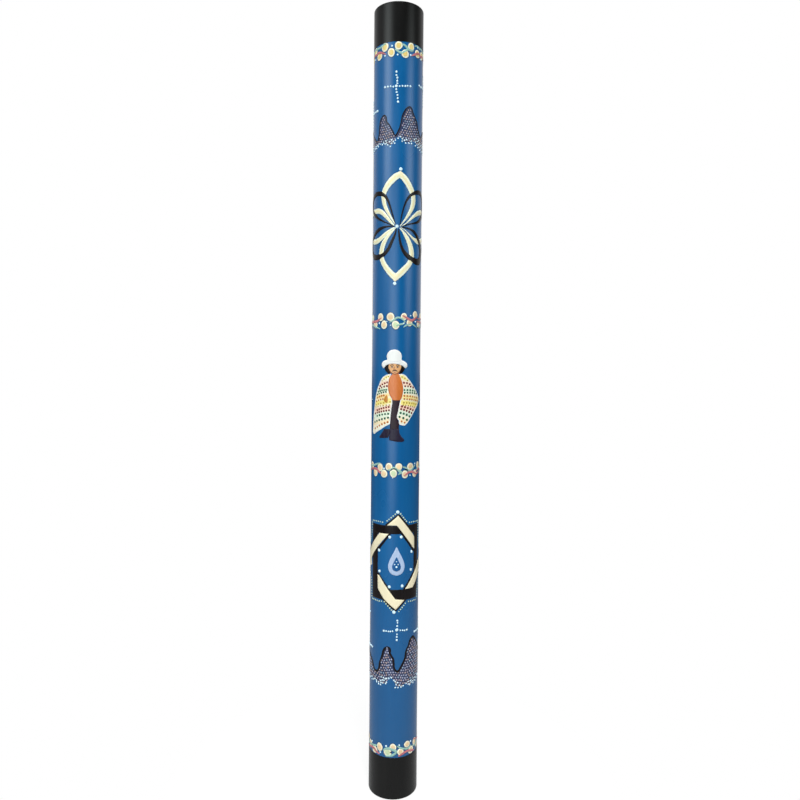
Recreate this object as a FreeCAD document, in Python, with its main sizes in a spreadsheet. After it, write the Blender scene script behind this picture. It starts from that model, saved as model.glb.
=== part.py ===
"""Rainstick: a sealed PVC pipe that stands on one end, with twelve rows of nails driven through
its wall so that their points cross the bore in a double spiral, and loose pebbles inside that
trickle past the nails when the stick is turned over.

Frame: +Z runs along the pipe, and the origin is the centre of the bottom cap's outer face.
The first row of nails is on the +X side. Units are millimetres. Every dimension is in the
spreadsheet "Sizes". In names, "low" is the bottom end and "high" the top end.
"""

import FreeCAD, Part

import math
import os

import Sketcher

Vector = FreeCAD.Vector

doc = FreeCAD.newDocument("Rainstick")

# ---------------------------------------------------------------- driving sizes
# alias, value, what it is
DRIVING = [
    ("overall_len", 1011.0, "outer face of the bottom cap to outer face of the top cap"),
    ("tube_od", 63.0, "pipe outside diameter"),
    ("tube_wall", 3.0, "pipe wall"),
    ("rebate_deep", 1.0, "depth turned off the outside of each pipe end for the cap skirt"),
    ("cap_face", 3.0, "thickness of a cap's closed end"),
    ("cap_proud", 0.35, "how far a cap's skirt stands proud of the pipe"),
    ("cap_low_len", 54.3, "outside length of the bottom cap"),
    ("cap_high_len", 49.7, "outside length of the top cap"),
    ("cap_edge", 0.6, "round on a cap's outer rim"),
    ("cap_lip", 0.12, "round on the mouth of a cap's skirt"),
    ("glue_gap", 0.05, "glue line between a cap and the pipe"),
    ("end_gap", 0.1, "gap between a cap's closed end and the pipe end"),
    ("plug_thick", 10.0, "thickness of the wooden plug in each pipe end"),
    ("plug_gap", 0.05, "radial gap between a plug and the bore"),
    ("plug_chamfer", 0.8, "chamfer on the plug's edges"),
    ("seal_leg", 2.0, "leg of the sealant fillet in the corner of plug and bore"),
    ("seal_gap", 0.02, "skin left round the sealant"),
    ("nail_rad", 0.8, "radius of a nail's shank"),
    ("nail_head_rad", 1.5, "radius of a nail's head"),
    ("nail_head_thick", 0.8, "thickness of a nail's head"),
    ("nail_len", 40.0, "overall length of a chamber nail"),
    ("nail_point", 2.6, "length of a nail's point"),
    ("nail_sunk", 0.04, "how far a head's face lies below where the head's side meets the pipe"),
    ("nail_slack", 0.02, "slack round a nail in its hole, and under its head"),
    ("tack_len", 17.0, "overall length of a nail that holds a plug"),
    ("tack_count", 4, "nails round each plug"),
    ("tack_angle", 45.0, "angle of the first plug nail from +X, in degrees"),
    ("drill_inside", 1.5, "how far a chamber nail's drill reaches into the bore"),
    ("tack_drill_past", 0.4, "how far a plug nail's drill reaches past its point"),
    ("drill_overlap", 1.0, "length of shank drill inside the head drill"),
    ("drill_outside", 2.0, "how far a head drill stands out past the head's face"),
    ("row_count", 12, "rows of chamber nails round the pipe"),
    ("turn_count", 9, "turns that each of the two spirals makes"),
    ("spiral_start", 57.5, "height of the first chamber nail"),
    ("spiral_step", 8.375, "rise from one nail of a spiral to the next, one row round"),
    ("coarse_layers", 8, "layers of coarse pebbles"),
    ("medium_layers", 11, "layers of medium pebbles"),
    ("fine_layers", 17, "layers of fine pebbles"),
    ("coarse_orbit", 23.9, "distance of the coarse pebbles from the axis"),
    ("medium_orbit", 17.1, "distance of the medium pebbles from the axis"),
    ("fine_orbit", 11.2, "distance of the fine pebbles from the axis"),
    ("coarse_half", 3.9, "radius of the largest coarse pebble"),
    ("medium_half", 2.7, "radius of the largest medium pebble"),
    ("fine_half", 1.6, "radius of the largest fine pebble"),
    ("pebble_gap", 0.12, "gap left between one pebble and the next above it"),
    ("pebble_lift", 0.15, "least gap between the bottom plug and the pebbles"),
    ("pebble_stagger", 0.9, "most extra lift of a column, as a share of the largest radius"),
    ("pebble_least", 0.8, "smallest pebble radius, as a share of the largest"),
    ("pebble_stray", 1.2, "width of a pebble's sideways scatter, as a share of its spare room"),
]

# Sizes that follow from the driving ones. Names that end in _rad are radii from the pipe's axis.
DERIVED = [
    ("tube_rad", "=tube_od / 2", "outside of the pipe"),
    ("bore_rad", "=tube_rad - tube_wall", "inside of the pipe"),
    ("rebate_rad", "=tube_rad - rebate_deep", "outside of the pipe's turned-down ends"),
    ("tube_low", "=cap_face + end_gap", "height of the pipe's bottom end"),
    ("tube_high", "=overall_len - tube_low", "height of the pipe's top end"),
    ("step_low", "=cap_low_len + glue_gap", "height of the bottom rebate's step"),
    ("step_high", "=overall_len - cap_high_len - glue_gap", "height of the top rebate's step"),
    ("cap_rad", "=tube_rad + cap_proud", "outside of a cap"),
    ("skirt_in_rad", "=rebate_rad + glue_gap", "inside of a cap's skirt"),
    ("cap_high_inner", "=overall_len - cap_face", "height of the top cap's inner face"),
    ("cap_high_mouth", "=overall_len - cap_high_len", "height of the top cap's mouth"),
    ("plug_rad", "=bore_rad - plug_gap", "outside of a plug"),
    ("chamber_low", "=tube_low + plug_thick", "height of the chamber's floor"),
    ("chamber_high", "=tube_high - plug_thick", "height of the chamber's roof"),
    ("seal_rad", "=bore_rad - seal_gap", "outside of the sealant"),
    ("seal_toe_rad", "=seal_rad - seal_leg", "inner edge of the sealant"),
    ("seal_low", "=chamber_low + seal_gap", "height of the bottom sealant's flat face"),
    ("seal_low_tip", "=seal_low + seal_leg", "height of the bottom sealant's edge on the wall"),
    ("seal_high", "=chamber_high - seal_gap", "height of the top sealant's flat face"),
    ("seal_high_tip", "=seal_high - seal_leg", "height of the top sealant's edge on the wall"),
    ("nail_under", "=nail_len - nail_head_thick", "chamber nail, point to underside of head"),
    ("tack_under", "=tack_len - nail_head_thick", "plug nail, point to underside of head"),
]

sheet = doc.addObject("Spreadsheet::Sheet", "Sizes")
for row, (alias, value, note) in enumerate(DRIVING + DERIVED, start=1):
    sheet.set(f"A{row}", alias)
    sheet.set(f"B{row}", str(value))
    sheet.set(f"C{row}", note)
    sheet.setAlias(f"B{row}", alias)
doc.recompute()


def size(alias):
    """A size read back from the sheet; 0 stands for itself."""
    return float(sheet.get(alias)) if alias else 0.0


def count(alias):
    return int(size(alias))


# ---------------------------------------------------------------- turned bodies
def ring_profile(body, name, corners):
    """A closed sketch on the body's XZ plane. Each corner is (radius, height), as sheet aliases;
    0 puts the corner on the axis or on the base line."""
    sketch = body.newObject("Sketcher::SketchObject", name)
    xz_plane = [f for f in body.Origin.OriginFeatures if f.Role == "XZ_Plane"][0]
    sketch.AttachmentSupport = (xz_plane, [""])
    sketch.MapMode = "FlatFace"

    points = [Vector(size(radius), size(height), 0) for radius, height in corners]
    total = len(points)
    for i in range(total):
        sketch.addGeometry(Part.LineSegment(points[i], points[(i + 1) % total]), False)
    for i in range(total):
        sketch.addConstraint(Sketcher.Constraint("Coincident", i, 2, (i + 1) % total, 1))
    for i, (radius, height) in enumerate(corners):
        # geometry -2 is the sketch's vertical axis and -1 its horizontal axis
        for kind, alias, axis in (("DistanceX", radius, -2), ("DistanceY", height, -1)):
            if alias == 0:
                sketch.addConstraint(Sketcher.Constraint("PointOnObject", i, 1, axis))
            else:
                index = sketch.addConstraint(
                    Sketcher.Constraint(kind, -1, 1, i, 1, size(alias))
                )
                sketch.setExpression(f"Constraints[{index}]", "Sizes." + alias)
    doc.recompute()
    return sketch


def turned_body(name, label, corners, body_name=None):
    """A body with the profile turned full circle about Z. Returns the body and its revolution."""
    body = doc.addObject("PartDesign::Body", body_name or name)
    body.Label = label
    sketch = ring_profile(body, name + "Profile", corners)
    turned = body.newObject("PartDesign::Revolution", name + "Turned")
    turned.Profile = sketch
    turned.ReferenceAxis = (sketch, ["V_Axis"])
    turned.Angle = 360.0
    doc.recompute()
    return body, turned


def circle_edges(feature, radius, height, tol=0.01):
    """Names of the feature's circular edges about the Z axis with that radius and height."""
    found = []
    for i, edge in enumerate(feature.Shape.Edges, start=1):
        curve = edge.Curve
        if isinstance(curve, Part.Circle) and abs(curve.Radius - radius) < tol:
            if abs(curve.Center.z - height) < tol and abs(curve.Center.x) < tol:
                found.append(f"Edge{i}")
    if not found:
        raise RuntimeError(f"no edge of radius {radius} at height {height}")
    return found


def dress(body, kind, name, base, edges, alias):
    """Adds a Fillet or Chamfer on those edges, sized by the sheet."""
    dressing = body.newObject("PartDesign::" + kind, name)
    dressing.Base = (base, edges)
    prop = "Radius" if kind == "Fillet" else "Size"
    setattr(dressing, prop, size(alias))
    dressing.setExpression(prop, "Sizes." + alias)
    doc.recompute()
    return dressing


# ---------------------------------------------------------------- pipe
tube_blank, _ = turned_body(
    "Tube", "tube_blank",
    [
        ("bore_rad", "tube_low"),
        ("rebate_rad", "tube_low"),
        ("rebate_rad", "step_low"),
        ("tube_rad", "step_low"),
        ("tube_rad", "step_high"),
        ("rebate_rad", "step_high"),
        ("rebate_rad", "tube_high"),
        ("bore_rad", "tube_high"),
    ],
    body_name="TubeBlank",
)


# ---------------------------------------------------------------- caps
def cap(name, label, corners, rim, mouth):
    """A cap, rounded at its outer rim and then at the mouth of its skirt."""
    body, feature = turned_body(name, label, corners)
    for part, height, alias in (("Rim", rim, "cap_edge"), ("Lip", mouth, "cap_lip")):
        edges = circle_edges(feature, size("cap_rad"), size(height))
        feature = dress(body, "Fillet", name + part, feature, edges, alias)
    return body


bottom_cap = cap(
    "BottomCap", "bottom_cap",
    [
        (0, 0),
        ("cap_rad", 0),
        ("cap_rad", "cap_low_len"),
        ("skirt_in_rad", "cap_low_len"),
        ("skirt_in_rad", "cap_face"),
        (0, "cap_face"),
    ],
    rim=0, mouth="cap_low_len",
)
top_cap = cap(
    "TopCap", "top_cap",
    [
        (0, "cap_high_inner"),
        ("skirt_in_rad", "cap_high_inner"),
        ("skirt_in_rad", "cap_high_mouth"),
        ("cap_rad", "cap_high_mouth"),
        ("cap_rad", "overall_len"),
        (0, "overall_len"),
    ],
    rim="overall_len", mouth="cap_high_mouth",
)


# ---------------------------------------------------------------- plugs
def plug_blank(name, low, high):
    """A disc between two heights, chamfered round both faces."""
    corners = [(0, low), ("plug_rad", low), ("plug_rad", high), (0, high)]
    body, disc = turned_body(name, name + "_blank", corners)
    edges = []
    for height in (low, high):
        edges += circle_edges(disc, size("plug_rad"), size(height))
    dress(body, "Chamfer", name + "Chamfer", disc, edges, "plug_chamfer")
    return body


bottom_plug_blank = plug_blank("BottomPlug", "tube_low", "chamber_low")
top_plug_blank = plug_blank("TopPlug", "chamber_high", "tube_high")


# ---------------------------------------------------------------- sealant in the plug corners
def seal_ring(name, label, flat, tip):
    """A ring of triangular section: one leg along the plug, the other along the bore."""
    corners = [("seal_rad", flat), ("seal_rad", tip), ("seal_toe_rad", flat)]
    return turned_body(name, label, corners)[0]


bottom_seal = seal_ring("BottomSeal", "bottom_seal", "seal_low", "seal_low_tip")
top_seal = seal_ring("TopSeal", "top_seal", "seal_high", "seal_high_tip")


# ---------------------------------------------------------------- nail patterns and their drills
def nail_pattern(name, length, under):
    """One nail along +Z, its point at the origin; the nails in the pipe are copies of it."""
    corners = [
        (0, 0),
        ("nail_rad", "nail_point"),
        ("nail_rad", under),
        ("nail_head_rad", under),
        ("nail_head_rad", length),
        (0, length),
    ]
    return turned_body(name, name.lower() + "_pattern", corners)[0]


chamber_nail = nail_pattern("ChamberNail", "nail_len", "nail_under")
plug_nail = nail_pattern("PlugNail", "tack_len", "tack_under")


def outward(angle):
    """The unit vector away from the axis at that angle, in degrees from +X."""
    return Vector(math.cos(math.radians(angle)), math.sin(math.radians(angle)), 0)


def face_radius(surface_rad):
    """Distance from the axis to the flat face of a head sunk in a cylinder of that radius."""
    return math.sqrt(surface_rad**2 - size("nail_head_rad") ** 2) - size("nail_sunk")


def placed(pattern, angle, z, face_rad, length):
    """A copy of the nail pattern at that angle and height, its head's face at face_rad and its
    point towards the axis."""
    out = outward(angle)
    turn = FreeCAD.Rotation(Vector(0, 0, 1), out)
    nail = pattern.Shape.copy()
    nail.Placement = FreeCAD.Placement(out * (face_rad - length) + Vector(0, 0, z), turn)
    return nail


def drill(angle, z, face_rad, inner_rad):
    """The stepped hole for a nail, as two cylinders: the shank's, from inner_rad outward, and
    the head's, open outward."""
    slack = size("nail_slack")
    out = outward(angle)
    up = Vector(0, 0, z)
    seat_rad = face_rad - size("nail_head_thick") - slack
    shank = Part.makeCylinder(
        size("nail_rad") + slack,
        seat_rad - inner_rad + size("drill_overlap"),
        out * inner_rad + up,
        out,
    )
    head = Part.makeCylinder(
        size("nail_head_rad") + slack,
        face_rad + size("drill_outside") - seat_rad,
        out * seat_rad + up,
        out,
    )
    return shank, head


def compound_feature(name, label, shapes):
    feature = doc.addObject("Part::Feature", name)
    feature.Shape = Part.makeCompound(shapes)
    feature.Label = label
    return feature


# ---------------------------------------------------------------- chamber nails
rows = count("row_count")
row_heights = [[] for _ in range(rows)]
for i in range(rows * count("turn_count")):
    # the second spiral is half a turn round from the first, and half a step higher
    for row_shift, step_shift in ((0, 0), (rows // 2, 0.5)):
        height = size("spiral_start") + (i + step_shift) * size("spiral_step")
        row_heights[(i + row_shift) % rows].append(height)

chamber_face = face_radius(size("tube_rad"))
chamber_drills = []
pin_rows = []
for k, heights in enumerate(row_heights):
    angle = 360.0 * k / rows
    nails = []
    for z in sorted(heights):
        nails.append(placed(chamber_nail, angle, z, chamber_face, size("nail_len")))
        inner_rad = size("bore_rad") - size("drill_inside")
        chamber_drills.append(drill(angle, z, chamber_face, inner_rad))
    pin_rows.append(compound_feature(f"PinRow{k + 1:02d}", f"pin_row_{k + 1:02d}", nails))


# ---------------------------------------------------------------- plug nails
def plug_nails(name, label, z):
    """The nails that hold a plug, through the turned-down end of the pipe and under the cap's
    skirt. Returns the nails, the tool that drills the plug, and the pairs of drill cylinders."""
    face_rad = face_radius(size("rebate_rad"))
    length = size("tack_len")
    nails, drills = [], []
    for k in range(count("tack_count")):
        angle = size("tack_angle") + 360.0 * k / count("tack_count")
        nails.append(placed(plug_nail, angle, z, face_rad, length))
        drills.append(drill(angle, z, face_rad, face_rad - length - size("tack_drill_past")))
    feature = compound_feature(name, label, nails)
    cylinders = [cylinder for pair in drills for cylinder in pair]
    tool = compound_feature(name + "Holes", label + "_holes", cylinders)
    return feature, tool, drills


bottom_tacks, bottom_holes, bottom_drills = plug_nails(
    "BottomPlugNails", "bottom_plug_nails", size("tube_low") + size("plug_thick") / 2
)
top_tacks, top_holes, top_drills = plug_nails(
    "TopPlugNails", "top_plug_nails", size("tube_high") - size("plug_thick") / 2
)

# ---------------------------------------------------------------- drill the pipe and the plugs
# shank and head are fused nail by nail, so that the pipe is cut by whole stepped drills
tube_drills = compound_feature(
    "TubeDrills", "tube_drills",
    [shank.fuse(head) for shank, head in chamber_drills + bottom_drills + top_drills],
)


def drilled(name, label, blank, tool):
    cut = doc.addObject("Part::Cut", name)
    cut.Base = blank
    cut.Tool = tool
    cut.Refine = False
    cut.Label = label
    return cut


tube = drilled("Tube", "tube", tube_blank, tube_drills)
bottom_plug = drilled("BottomPlugDrilled", "bottom_plug", bottom_plug_blank, bottom_holes)
top_plug = drilled("TopPlugDrilled", "top_plug", top_plug_blank, top_holes)
doc.recompute()


# ---------------------------------------------------------------- pebbles
def noise(*keys):
    """A fixed number in 0..1 for these keys, the same on every run."""
    x = 0.5
    for i, k in enumerate(keys):
        x = math.sin(x * 12.9898 + (k + 1.37) * 78.233 + i * 37.719) * 43758.5453
        x -= math.floor(x)
    return x


def pebble_grade(grade, seed):
    """Round pebbles of one grade, in a column in each clear lane between the nail rows, so that
    the whole grade can pass the nails. Sizes, heights and places vary a little."""
    orbit = size(grade + "_orbit")
    half = size(grade + "_half")
    least = size("pebble_least")
    pebbles = []
    for k in range(rows):
        z = size("chamber_low") + size("pebble_lift")
        z += half * size("pebble_stagger") * noise(seed, k)
        for layer in range(count(grade + "_layers")):
            radius = half * (least + (1 - least) * noise(seed, k, layer, 1))
            scatter = size("pebble_stray") * (half - radius)
            out = orbit + scatter * (noise(seed, k, layer, 2) - 0.5)
            angle = 2 * math.pi * (k + 0.5) / rows
            angle += scatter * (noise(seed, k, layer, 3) - 0.5) / orbit
            z += radius
            centre = Vector(out * math.cos(angle), out * math.sin(angle), z)
            pebbles.append(Part.makeSphere(radius, centre))
            z += radius + size("pebble_gap")
    return compound_feature(grade.capitalize() + "Pebbles", grade + "_pebbles", pebbles)


SEEDS = {"coarse": 11, "medium": 23, "fine": 37}
pebble_grades = [pebble_grade(grade, seed) for grade, seed in SEEDS.items()]
doc.recompute()

# ---------------------------------------------------------------- check every object, then write
for obj in doc.Objects:
    if "Invalid" in obj.State or "Error" in obj.State:
        raise RuntimeError(f"{obj.Label} failed: {obj.State}")

parts = [
    tube, bottom_cap, top_cap, bottom_plug, top_plug, bottom_seal, top_seal,
    bottom_tacks, top_tacks,
] + pebble_grades + pin_rows
for part in parts:
    if part.Shape.isNull() or not part.Shape.isValid() or not part.Shape.Solids:
        raise RuntimeError(f"{part.Label} has no valid shape")

LEAST_CUT = 10.0  # the least volume that drilling must remove, in mm3
for part in (tube, bottom_plug, top_plug):
    if not part.Shape.Volume < part.Base.Shape.Volume - LEAST_CUT:
        raise RuntimeError(f"{part.Label}: the drills cut nothing")

os.makedirs("parts", exist_ok=True)
for stale in os.listdir("parts"):
    if stale.endswith(".step"):
        os.remove(os.path.join("parts", stale))
for part in parts:
    part.Shape.exportStep(os.path.join("parts", part.Label + ".step"))
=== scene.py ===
"""Painted pipe rainstick standing upright on its bottom cap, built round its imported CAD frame.

Metres, +Z up. The pipe's axis is Z and its front faces -Y, towards the camera. The artwork is
laid out unrolled, in millimetres, and most motifs come twice: on the front and on the back.
"""

import math

import bmesh
import bpy
import numpy as np
from mathutils import Matrix, Quaternion, Vector, geometry


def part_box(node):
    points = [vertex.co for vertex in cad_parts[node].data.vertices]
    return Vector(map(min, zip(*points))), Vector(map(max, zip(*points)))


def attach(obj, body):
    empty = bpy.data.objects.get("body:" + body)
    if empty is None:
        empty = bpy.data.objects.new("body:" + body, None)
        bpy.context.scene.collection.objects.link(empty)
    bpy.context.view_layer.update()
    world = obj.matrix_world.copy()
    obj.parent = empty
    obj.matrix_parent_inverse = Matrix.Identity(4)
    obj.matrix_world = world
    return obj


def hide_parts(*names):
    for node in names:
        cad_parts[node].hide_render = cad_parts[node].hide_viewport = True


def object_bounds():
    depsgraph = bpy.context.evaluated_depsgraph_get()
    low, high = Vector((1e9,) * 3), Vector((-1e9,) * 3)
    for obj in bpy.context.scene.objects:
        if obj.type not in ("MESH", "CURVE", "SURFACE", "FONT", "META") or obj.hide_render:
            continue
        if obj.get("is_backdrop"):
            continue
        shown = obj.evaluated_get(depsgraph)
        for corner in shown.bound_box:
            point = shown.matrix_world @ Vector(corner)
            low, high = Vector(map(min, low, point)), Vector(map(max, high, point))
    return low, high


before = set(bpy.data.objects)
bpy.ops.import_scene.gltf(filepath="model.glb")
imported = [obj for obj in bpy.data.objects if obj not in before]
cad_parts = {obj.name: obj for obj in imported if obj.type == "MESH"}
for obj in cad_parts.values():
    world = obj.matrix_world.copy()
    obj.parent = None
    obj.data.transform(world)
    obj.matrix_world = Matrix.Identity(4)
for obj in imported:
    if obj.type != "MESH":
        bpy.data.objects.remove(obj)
cad_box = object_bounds()
scene = bpy.context.scene

# ------------------------------------------------------------------ drawing on the unrolled pipe
# Artwork points start with (s, z) in mm: s is the arc length from the middle of the front,
# positive to the viewer's right; z is the height above the bottom cap's outer face.
# Heights of shapes are how far the paint stands off the skin, in mm.
R_TUBE = 31.5
SKIN_R = R_TUBE + 0.1
HALF_TURN = math.pi * R_TUBE

shapes = []  # (kind, group, colour, points, height, smooth)


def hash01(*keys):
    """Repeatable scatter value from 0 to 1."""
    x = 0.5
    for i, key in enumerate(keys):
        x = math.sin(x * 12.9898 + (key + 1.37) * 78.233 + i * 37.719) * 43758.5453
        x -= math.floor(x)
    return x


def distance(a, b):
    return math.hypot(b[0] - a[0], b[1] - a[1])


def spline(points, closed=False, step=0.6):
    """Catmull-Rom curve through tuples of any length, one sample about every step mm."""
    n = len(points)
    curve = []
    for i in range(n if closed else n - 1):
        p0, p1, p2, p3 = (
            points[(i + k) % n if closed else min(max(i + k, 0), n - 1)] for k in (-1, 0, 1, 2))
        count = max(2, math.ceil(distance(p1, p2) / step))
        for k in range(count):
            t = k / count
            curve.append(tuple(
                0.5 * (2 * b + (c - a) * t + (2 * a - 5 * b + 4 * c - d) * t * t
                       + (3 * b - a - 3 * c + d) * t * t * t)
                for a, b, c, d in zip(p0, p1, p2, p3)))
    if not closed:
        curve.append(tuple(points[-1]))
    return curve


def dots(group, colour, items, height, radius=None):
    """Items are (s, z), (s, z, radius) or (s, z, radius along s, radius along z)."""
    points = []
    for s, z, *radii in items:
        radii = radii or [radius]
        points.append((s, z, radii[0], radii[-1]))
    shapes.append(("dot", group, colour, points, height, False))


def ribbon(group, colour, points, height, width=None, smooth=True):
    """Brush stroke through (s, z, full width), or through (s, z) with one width."""
    points = [(p[0], p[1], p[2] if len(p) > 2 else width) for p in points]
    shapes.append(("ribbon", group, colour, points, height, smooth))


def patch(group, colour, points, height, smooth=False):
    """Filled outline."""
    shapes.append(("patch", group, colour, points, height, smooth))


def shifted(points, offset):
    return [(p[0] + offset, *p[1:]) for p in points]


def both_sides(draw):
    """Decorator: what a motif draws on the front is drawn again on the back."""
    def draw_twice(*args, **options):
        first = len(shapes)
        draw(*args, **options)
        for kind, group, colour, points, height, smooth in shapes[first:]:
            points = shifted(points, HALF_TURN)
            shapes.append((kind, group, colour, points, height, smooth))
    return draw_twice


# ------------------------------------------------------------------ floral bands
@both_sides
def floral_band(group, beads, teal, crimson, whites, black=(), green=(), heart="bead_core",
                black_dots=()):
    """Cream beads with coloured hearts, and ribbons laid over them.

    beads: (s, z, radius along s, radius along z); green: indices of the green-hearted beads;
    teal, crimson, black: strokes of (s, z, width); whites, black_dots: (s, z, radius).
    """
    dots(group, "navy", [(s, z, rs + 0.75, rz + 0.75) for s, z, rs, rz in beads], 0.10)
    dots(group, "bead_rim", beads, 0.20)
    for i, (s, z, rs, rz) in enumerate(beads):
        colour = "bead_green" if i in green else heart
        dots(group, colour, [(s, z, rs * 0.66, rz * 0.68)], 0.34)
    for colour, strokes, height in (
            ("teal", teal, 0.42), ("crimson", crimson, 0.46), ("black", black, 0.50)):
        for stroke in strokes:
            ribbon(group, colour, stroke, height)
    dots(group, "white", [(s, z, r * 0.9) for s, z, r in whites], 0.5)
    if black_dots:
        dots(group, "black", black_dots, 0.5)


# under the top cap
floral_band(
    "floral_1",
    heart="bead_gold",
    beads=[
        (-18.1, 955.9, 4.8, 5.5), (-9.4, 948.1, 4.5, 5.5), (-27.2, 947.1, 4.7, 5.1),
        (0, 956.2, 4.8, 5.2), (8.3, 946.4, 4.6, 5.4), (16.3, 956.3, 4.5, 5.1),
        (26.8, 950.4, 4.6, 5.2), (-36.6, 955.8, 4.6, 4.8), (-45.2, 947.8, 4.6, 5.2),
        (36.8, 951.5, 4.4, 5.2), (45.5, 955.6, 4.6, 5.2)],
    teal=[
        [(-45.8, 958.4, 2.2), (-40, 957.4, 2.2), (-33.5, 958.3, 2.4), (-27, 957.4, 2.4),
         (-21.5, 958.8, 2.4), (-16.5, 960.2, 1.2)],
        [(-4.6, 951.8, 1.6), (-1.5, 949.6, 2.4), (3.2, 947.2, 2.6), (7.8, 949.4, 2.6),
         (12, 952.2, 2.8), (17.2, 951.6, 2.6), (20, 953.8, 1.2)],
        [(4.0, 957.9, 1.6), (7.5, 956.9, 2.4), (10.5, 954.6, 2.8), (13.5, 952.0, 2.4)],
        [(21.5, 958.6, 1.0), (26, 959.8, 2.0), (31, 958.3, 2.2), (36, 959.4, 2.0),
         (41, 957.6, 1.8), (46, 959.8, 1.6)]],
    crimson=[
        [(-46, 950.0, 2.2), (-40, 952.4, 2.6), (-34.1, 951.4, 3.0), (-29.8, 952.0, 3.2),
         (-23.5, 950.5, 2.8), (-16.6, 946.9, 1.0)],
        [(16.9, 945.4, 1.0), (22.0, 948.3, 2.8), (28.5, 951.3, 3.2), (34, 949.6, 3.0),
         (40, 951.4, 2.8), (46, 949.6, 2.0)]],
    whites=[
        (-8.4, 956.0, 1.3), (-18.1, 945.4, 1.3), (-1.2, 944.8, 1.2), (15.7, 946.0, 1.3),
        (26.9, 958.6, 1.2), (34, 946.0, 1.1), (-37.6, 946.6, 1.2), (36.6, 958.9, 1.1)],
)
floral_band(
    "floral_2",
    green=(3, 9),
    beads=[
        (-21.9, 618.1, 4.6, 4.9), (-16.4, 608.5, 4.4, 5.2), (-7.6, 618.3, 4.9, 5.4),
        (-1.0, 608.1, 4.7, 5.4), (9.6, 618.8, 4.2, 4.3), (17.5, 611.3, 4.3, 4.4),
        (26.9, 621.8, 4.5, 4.5), (-32.0, 609.4, 4.5, 4.9), (34.8, 610.0, 4.3, 4.3),
        (-40.4, 617.6, 4.6, 4.4), (42.0, 620.6, 4.4, 4.4), (-48.4, 609.0, 4.3, 4.6)],
    teal=[
        [(-9.2, 611.6, 1.0), (-4.6, 613.4, 2.0), (0.0, 617.0, 2.4), (4.6, 617.2, 2.2),
         (10.8, 613.4, 1.6)],
        [(0.0, 607.0, 1.4), (4.0, 608.8, 2.2), (8.2, 609.8, 2.2), (11.6, 613.0, 1.2)],
        [(9.0, 605.5, 1.0), (13.4, 608.2, 2.0), (17.8, 609.5, 1.8), (22.1, 609.5, 1.8),
         (26.5, 607.4, 1.6), (31.2, 605.3, 0.8)],
        [(-46, 608.8, 2.0), (-38.5, 608.1, 2.2), (-32.3, 606.2, 2.2), (-27.3, 605.0, 1.8),
         (-22.3, 603.5, 0.8)],
        [(33, 606.6, 1.0), (39, 607.6, 2.0), (46, 608.8, 1.8)]],
    crimson=[
        [(-46, 612.9, 2.8), (-38.5, 612.8, 3.2), (-30.4, 612.8, 3.4), (-25.4, 614.4, 2.8),
         (-20.2, 617.4, 1.2)],
        [(7.4, 620.3, 1.2), (12.75, 617.7, 2.8), (17.75, 615.0, 3.0), (21.5, 614.5, 3.2),
         (25.9, 616.6, 2.8), (30.4, 619.8, 1.0)],
        [(29.6, 614.0, 1.0), (35.3, 613.0, 3.0), (46, 612.9, 3.0)],
        [(31.0, 617.2, 0.8), (37, 617.2, 2.4), (46, 617.6, 2.0)]],
    whites=[
        (-23.75, 610.6, 1.3), (9.25, 610.3, 1.1), (19.0, 620.3, 1.0), (27.2, 613.0, 1.3),
        (-7.25, 607.9, 0.8), (-12.4, 612.6, 0.8)],
)
floral_band(
    "floral_3",
    green=(4,),
    beads=[
        (-20.6, 427.1, 4.2, 5.0), (-8.1, 428.5, 4.4, 5.0), (4.4, 428.5, 4.4, 4.9),
        (-14.75, 419.4, 4.4, 5.2), (-2.25, 420.3, 4.5, 5.3), (12.75, 418.8, 4.4, 4.9),
        (20.5, 428.5, 4.7, 4.5), (28.6, 418.7, 4.3, 4.6), (-29.1, 419.6, 4.1, 5.1),
        (36.5, 428.6, 4.2, 4.6), (-37.5, 427.8, 4.4, 4.6), (-46.5, 419.6, 4.4, 4.8),
        (45.0, 420.0, 4.2, 4.8)],
    teal=[
        [(-46, 426.3, 2.0), (-38.5, 427.5, 2.2), (-31, 429.0, 2.4), (-25.4, 431.0, 2.2),
         (-20.6, 432.4, 1.0)],
        [(-9.8, 424.6, 1.4), (-6.0, 424.6, 2.6), (-2.0, 427.6, 2.2), (3.0, 424.4, 3.0),
         (7.6, 421.6, 3.0), (3.6, 418.8, 1.2)],
        [(9.4, 428.4, 1.2), (14.0, 427.0, 2.2), (17.1, 423.8, 2.0), (20.3, 423.0, 2.0),
         (24.0, 425.2, 2.2), (29.4, 429.8, 1.0)],
        [(31.5, 423.4, 1.0), (38, 424.4, 2.0), (46, 426.3, 1.8)]],
    crimson=[
        [(-46, 420.6, 2.4), (-36, 423.6, 2.8), (-31, 424.4, 3.0), (-26, 423.8, 3.0),
         (-22.3, 421.3, 2.8), (-18.8, 419.2, 1.0)],
        [(11.2, 416.7, 1.2), (15.3, 419.4, 2.6), (19.0, 421.4, 3.0), (22.8, 421.4, 3.0),
         (26.5, 420.2, 2.8), (32.0, 417.8, 2.0), (37, 419.6, 2.0)],
        [(31.0, 421.5, 1.0), (37.5, 423.8, 3.2), (46, 420.8, 2.8)]],
    whites=[(-14.75, 426.0, 1.3), (20.2, 417.2, 1.0), (28.6, 431.4, 1.0), (-3.2, 414.6, 0.7)],
    black=[
        [(-6.2, 423.6, 0.8), (-4.1, 425.5, 1.3), (-1.6, 426.4, 1.4), (0.9, 425.5, 1.3),
         (3.6, 422.6, 0.7)],
        [(12.6, 424.8, 0.8), (15.2, 425.0, 1.2), (17.3, 422.8, 0.8)]],
)
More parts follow.
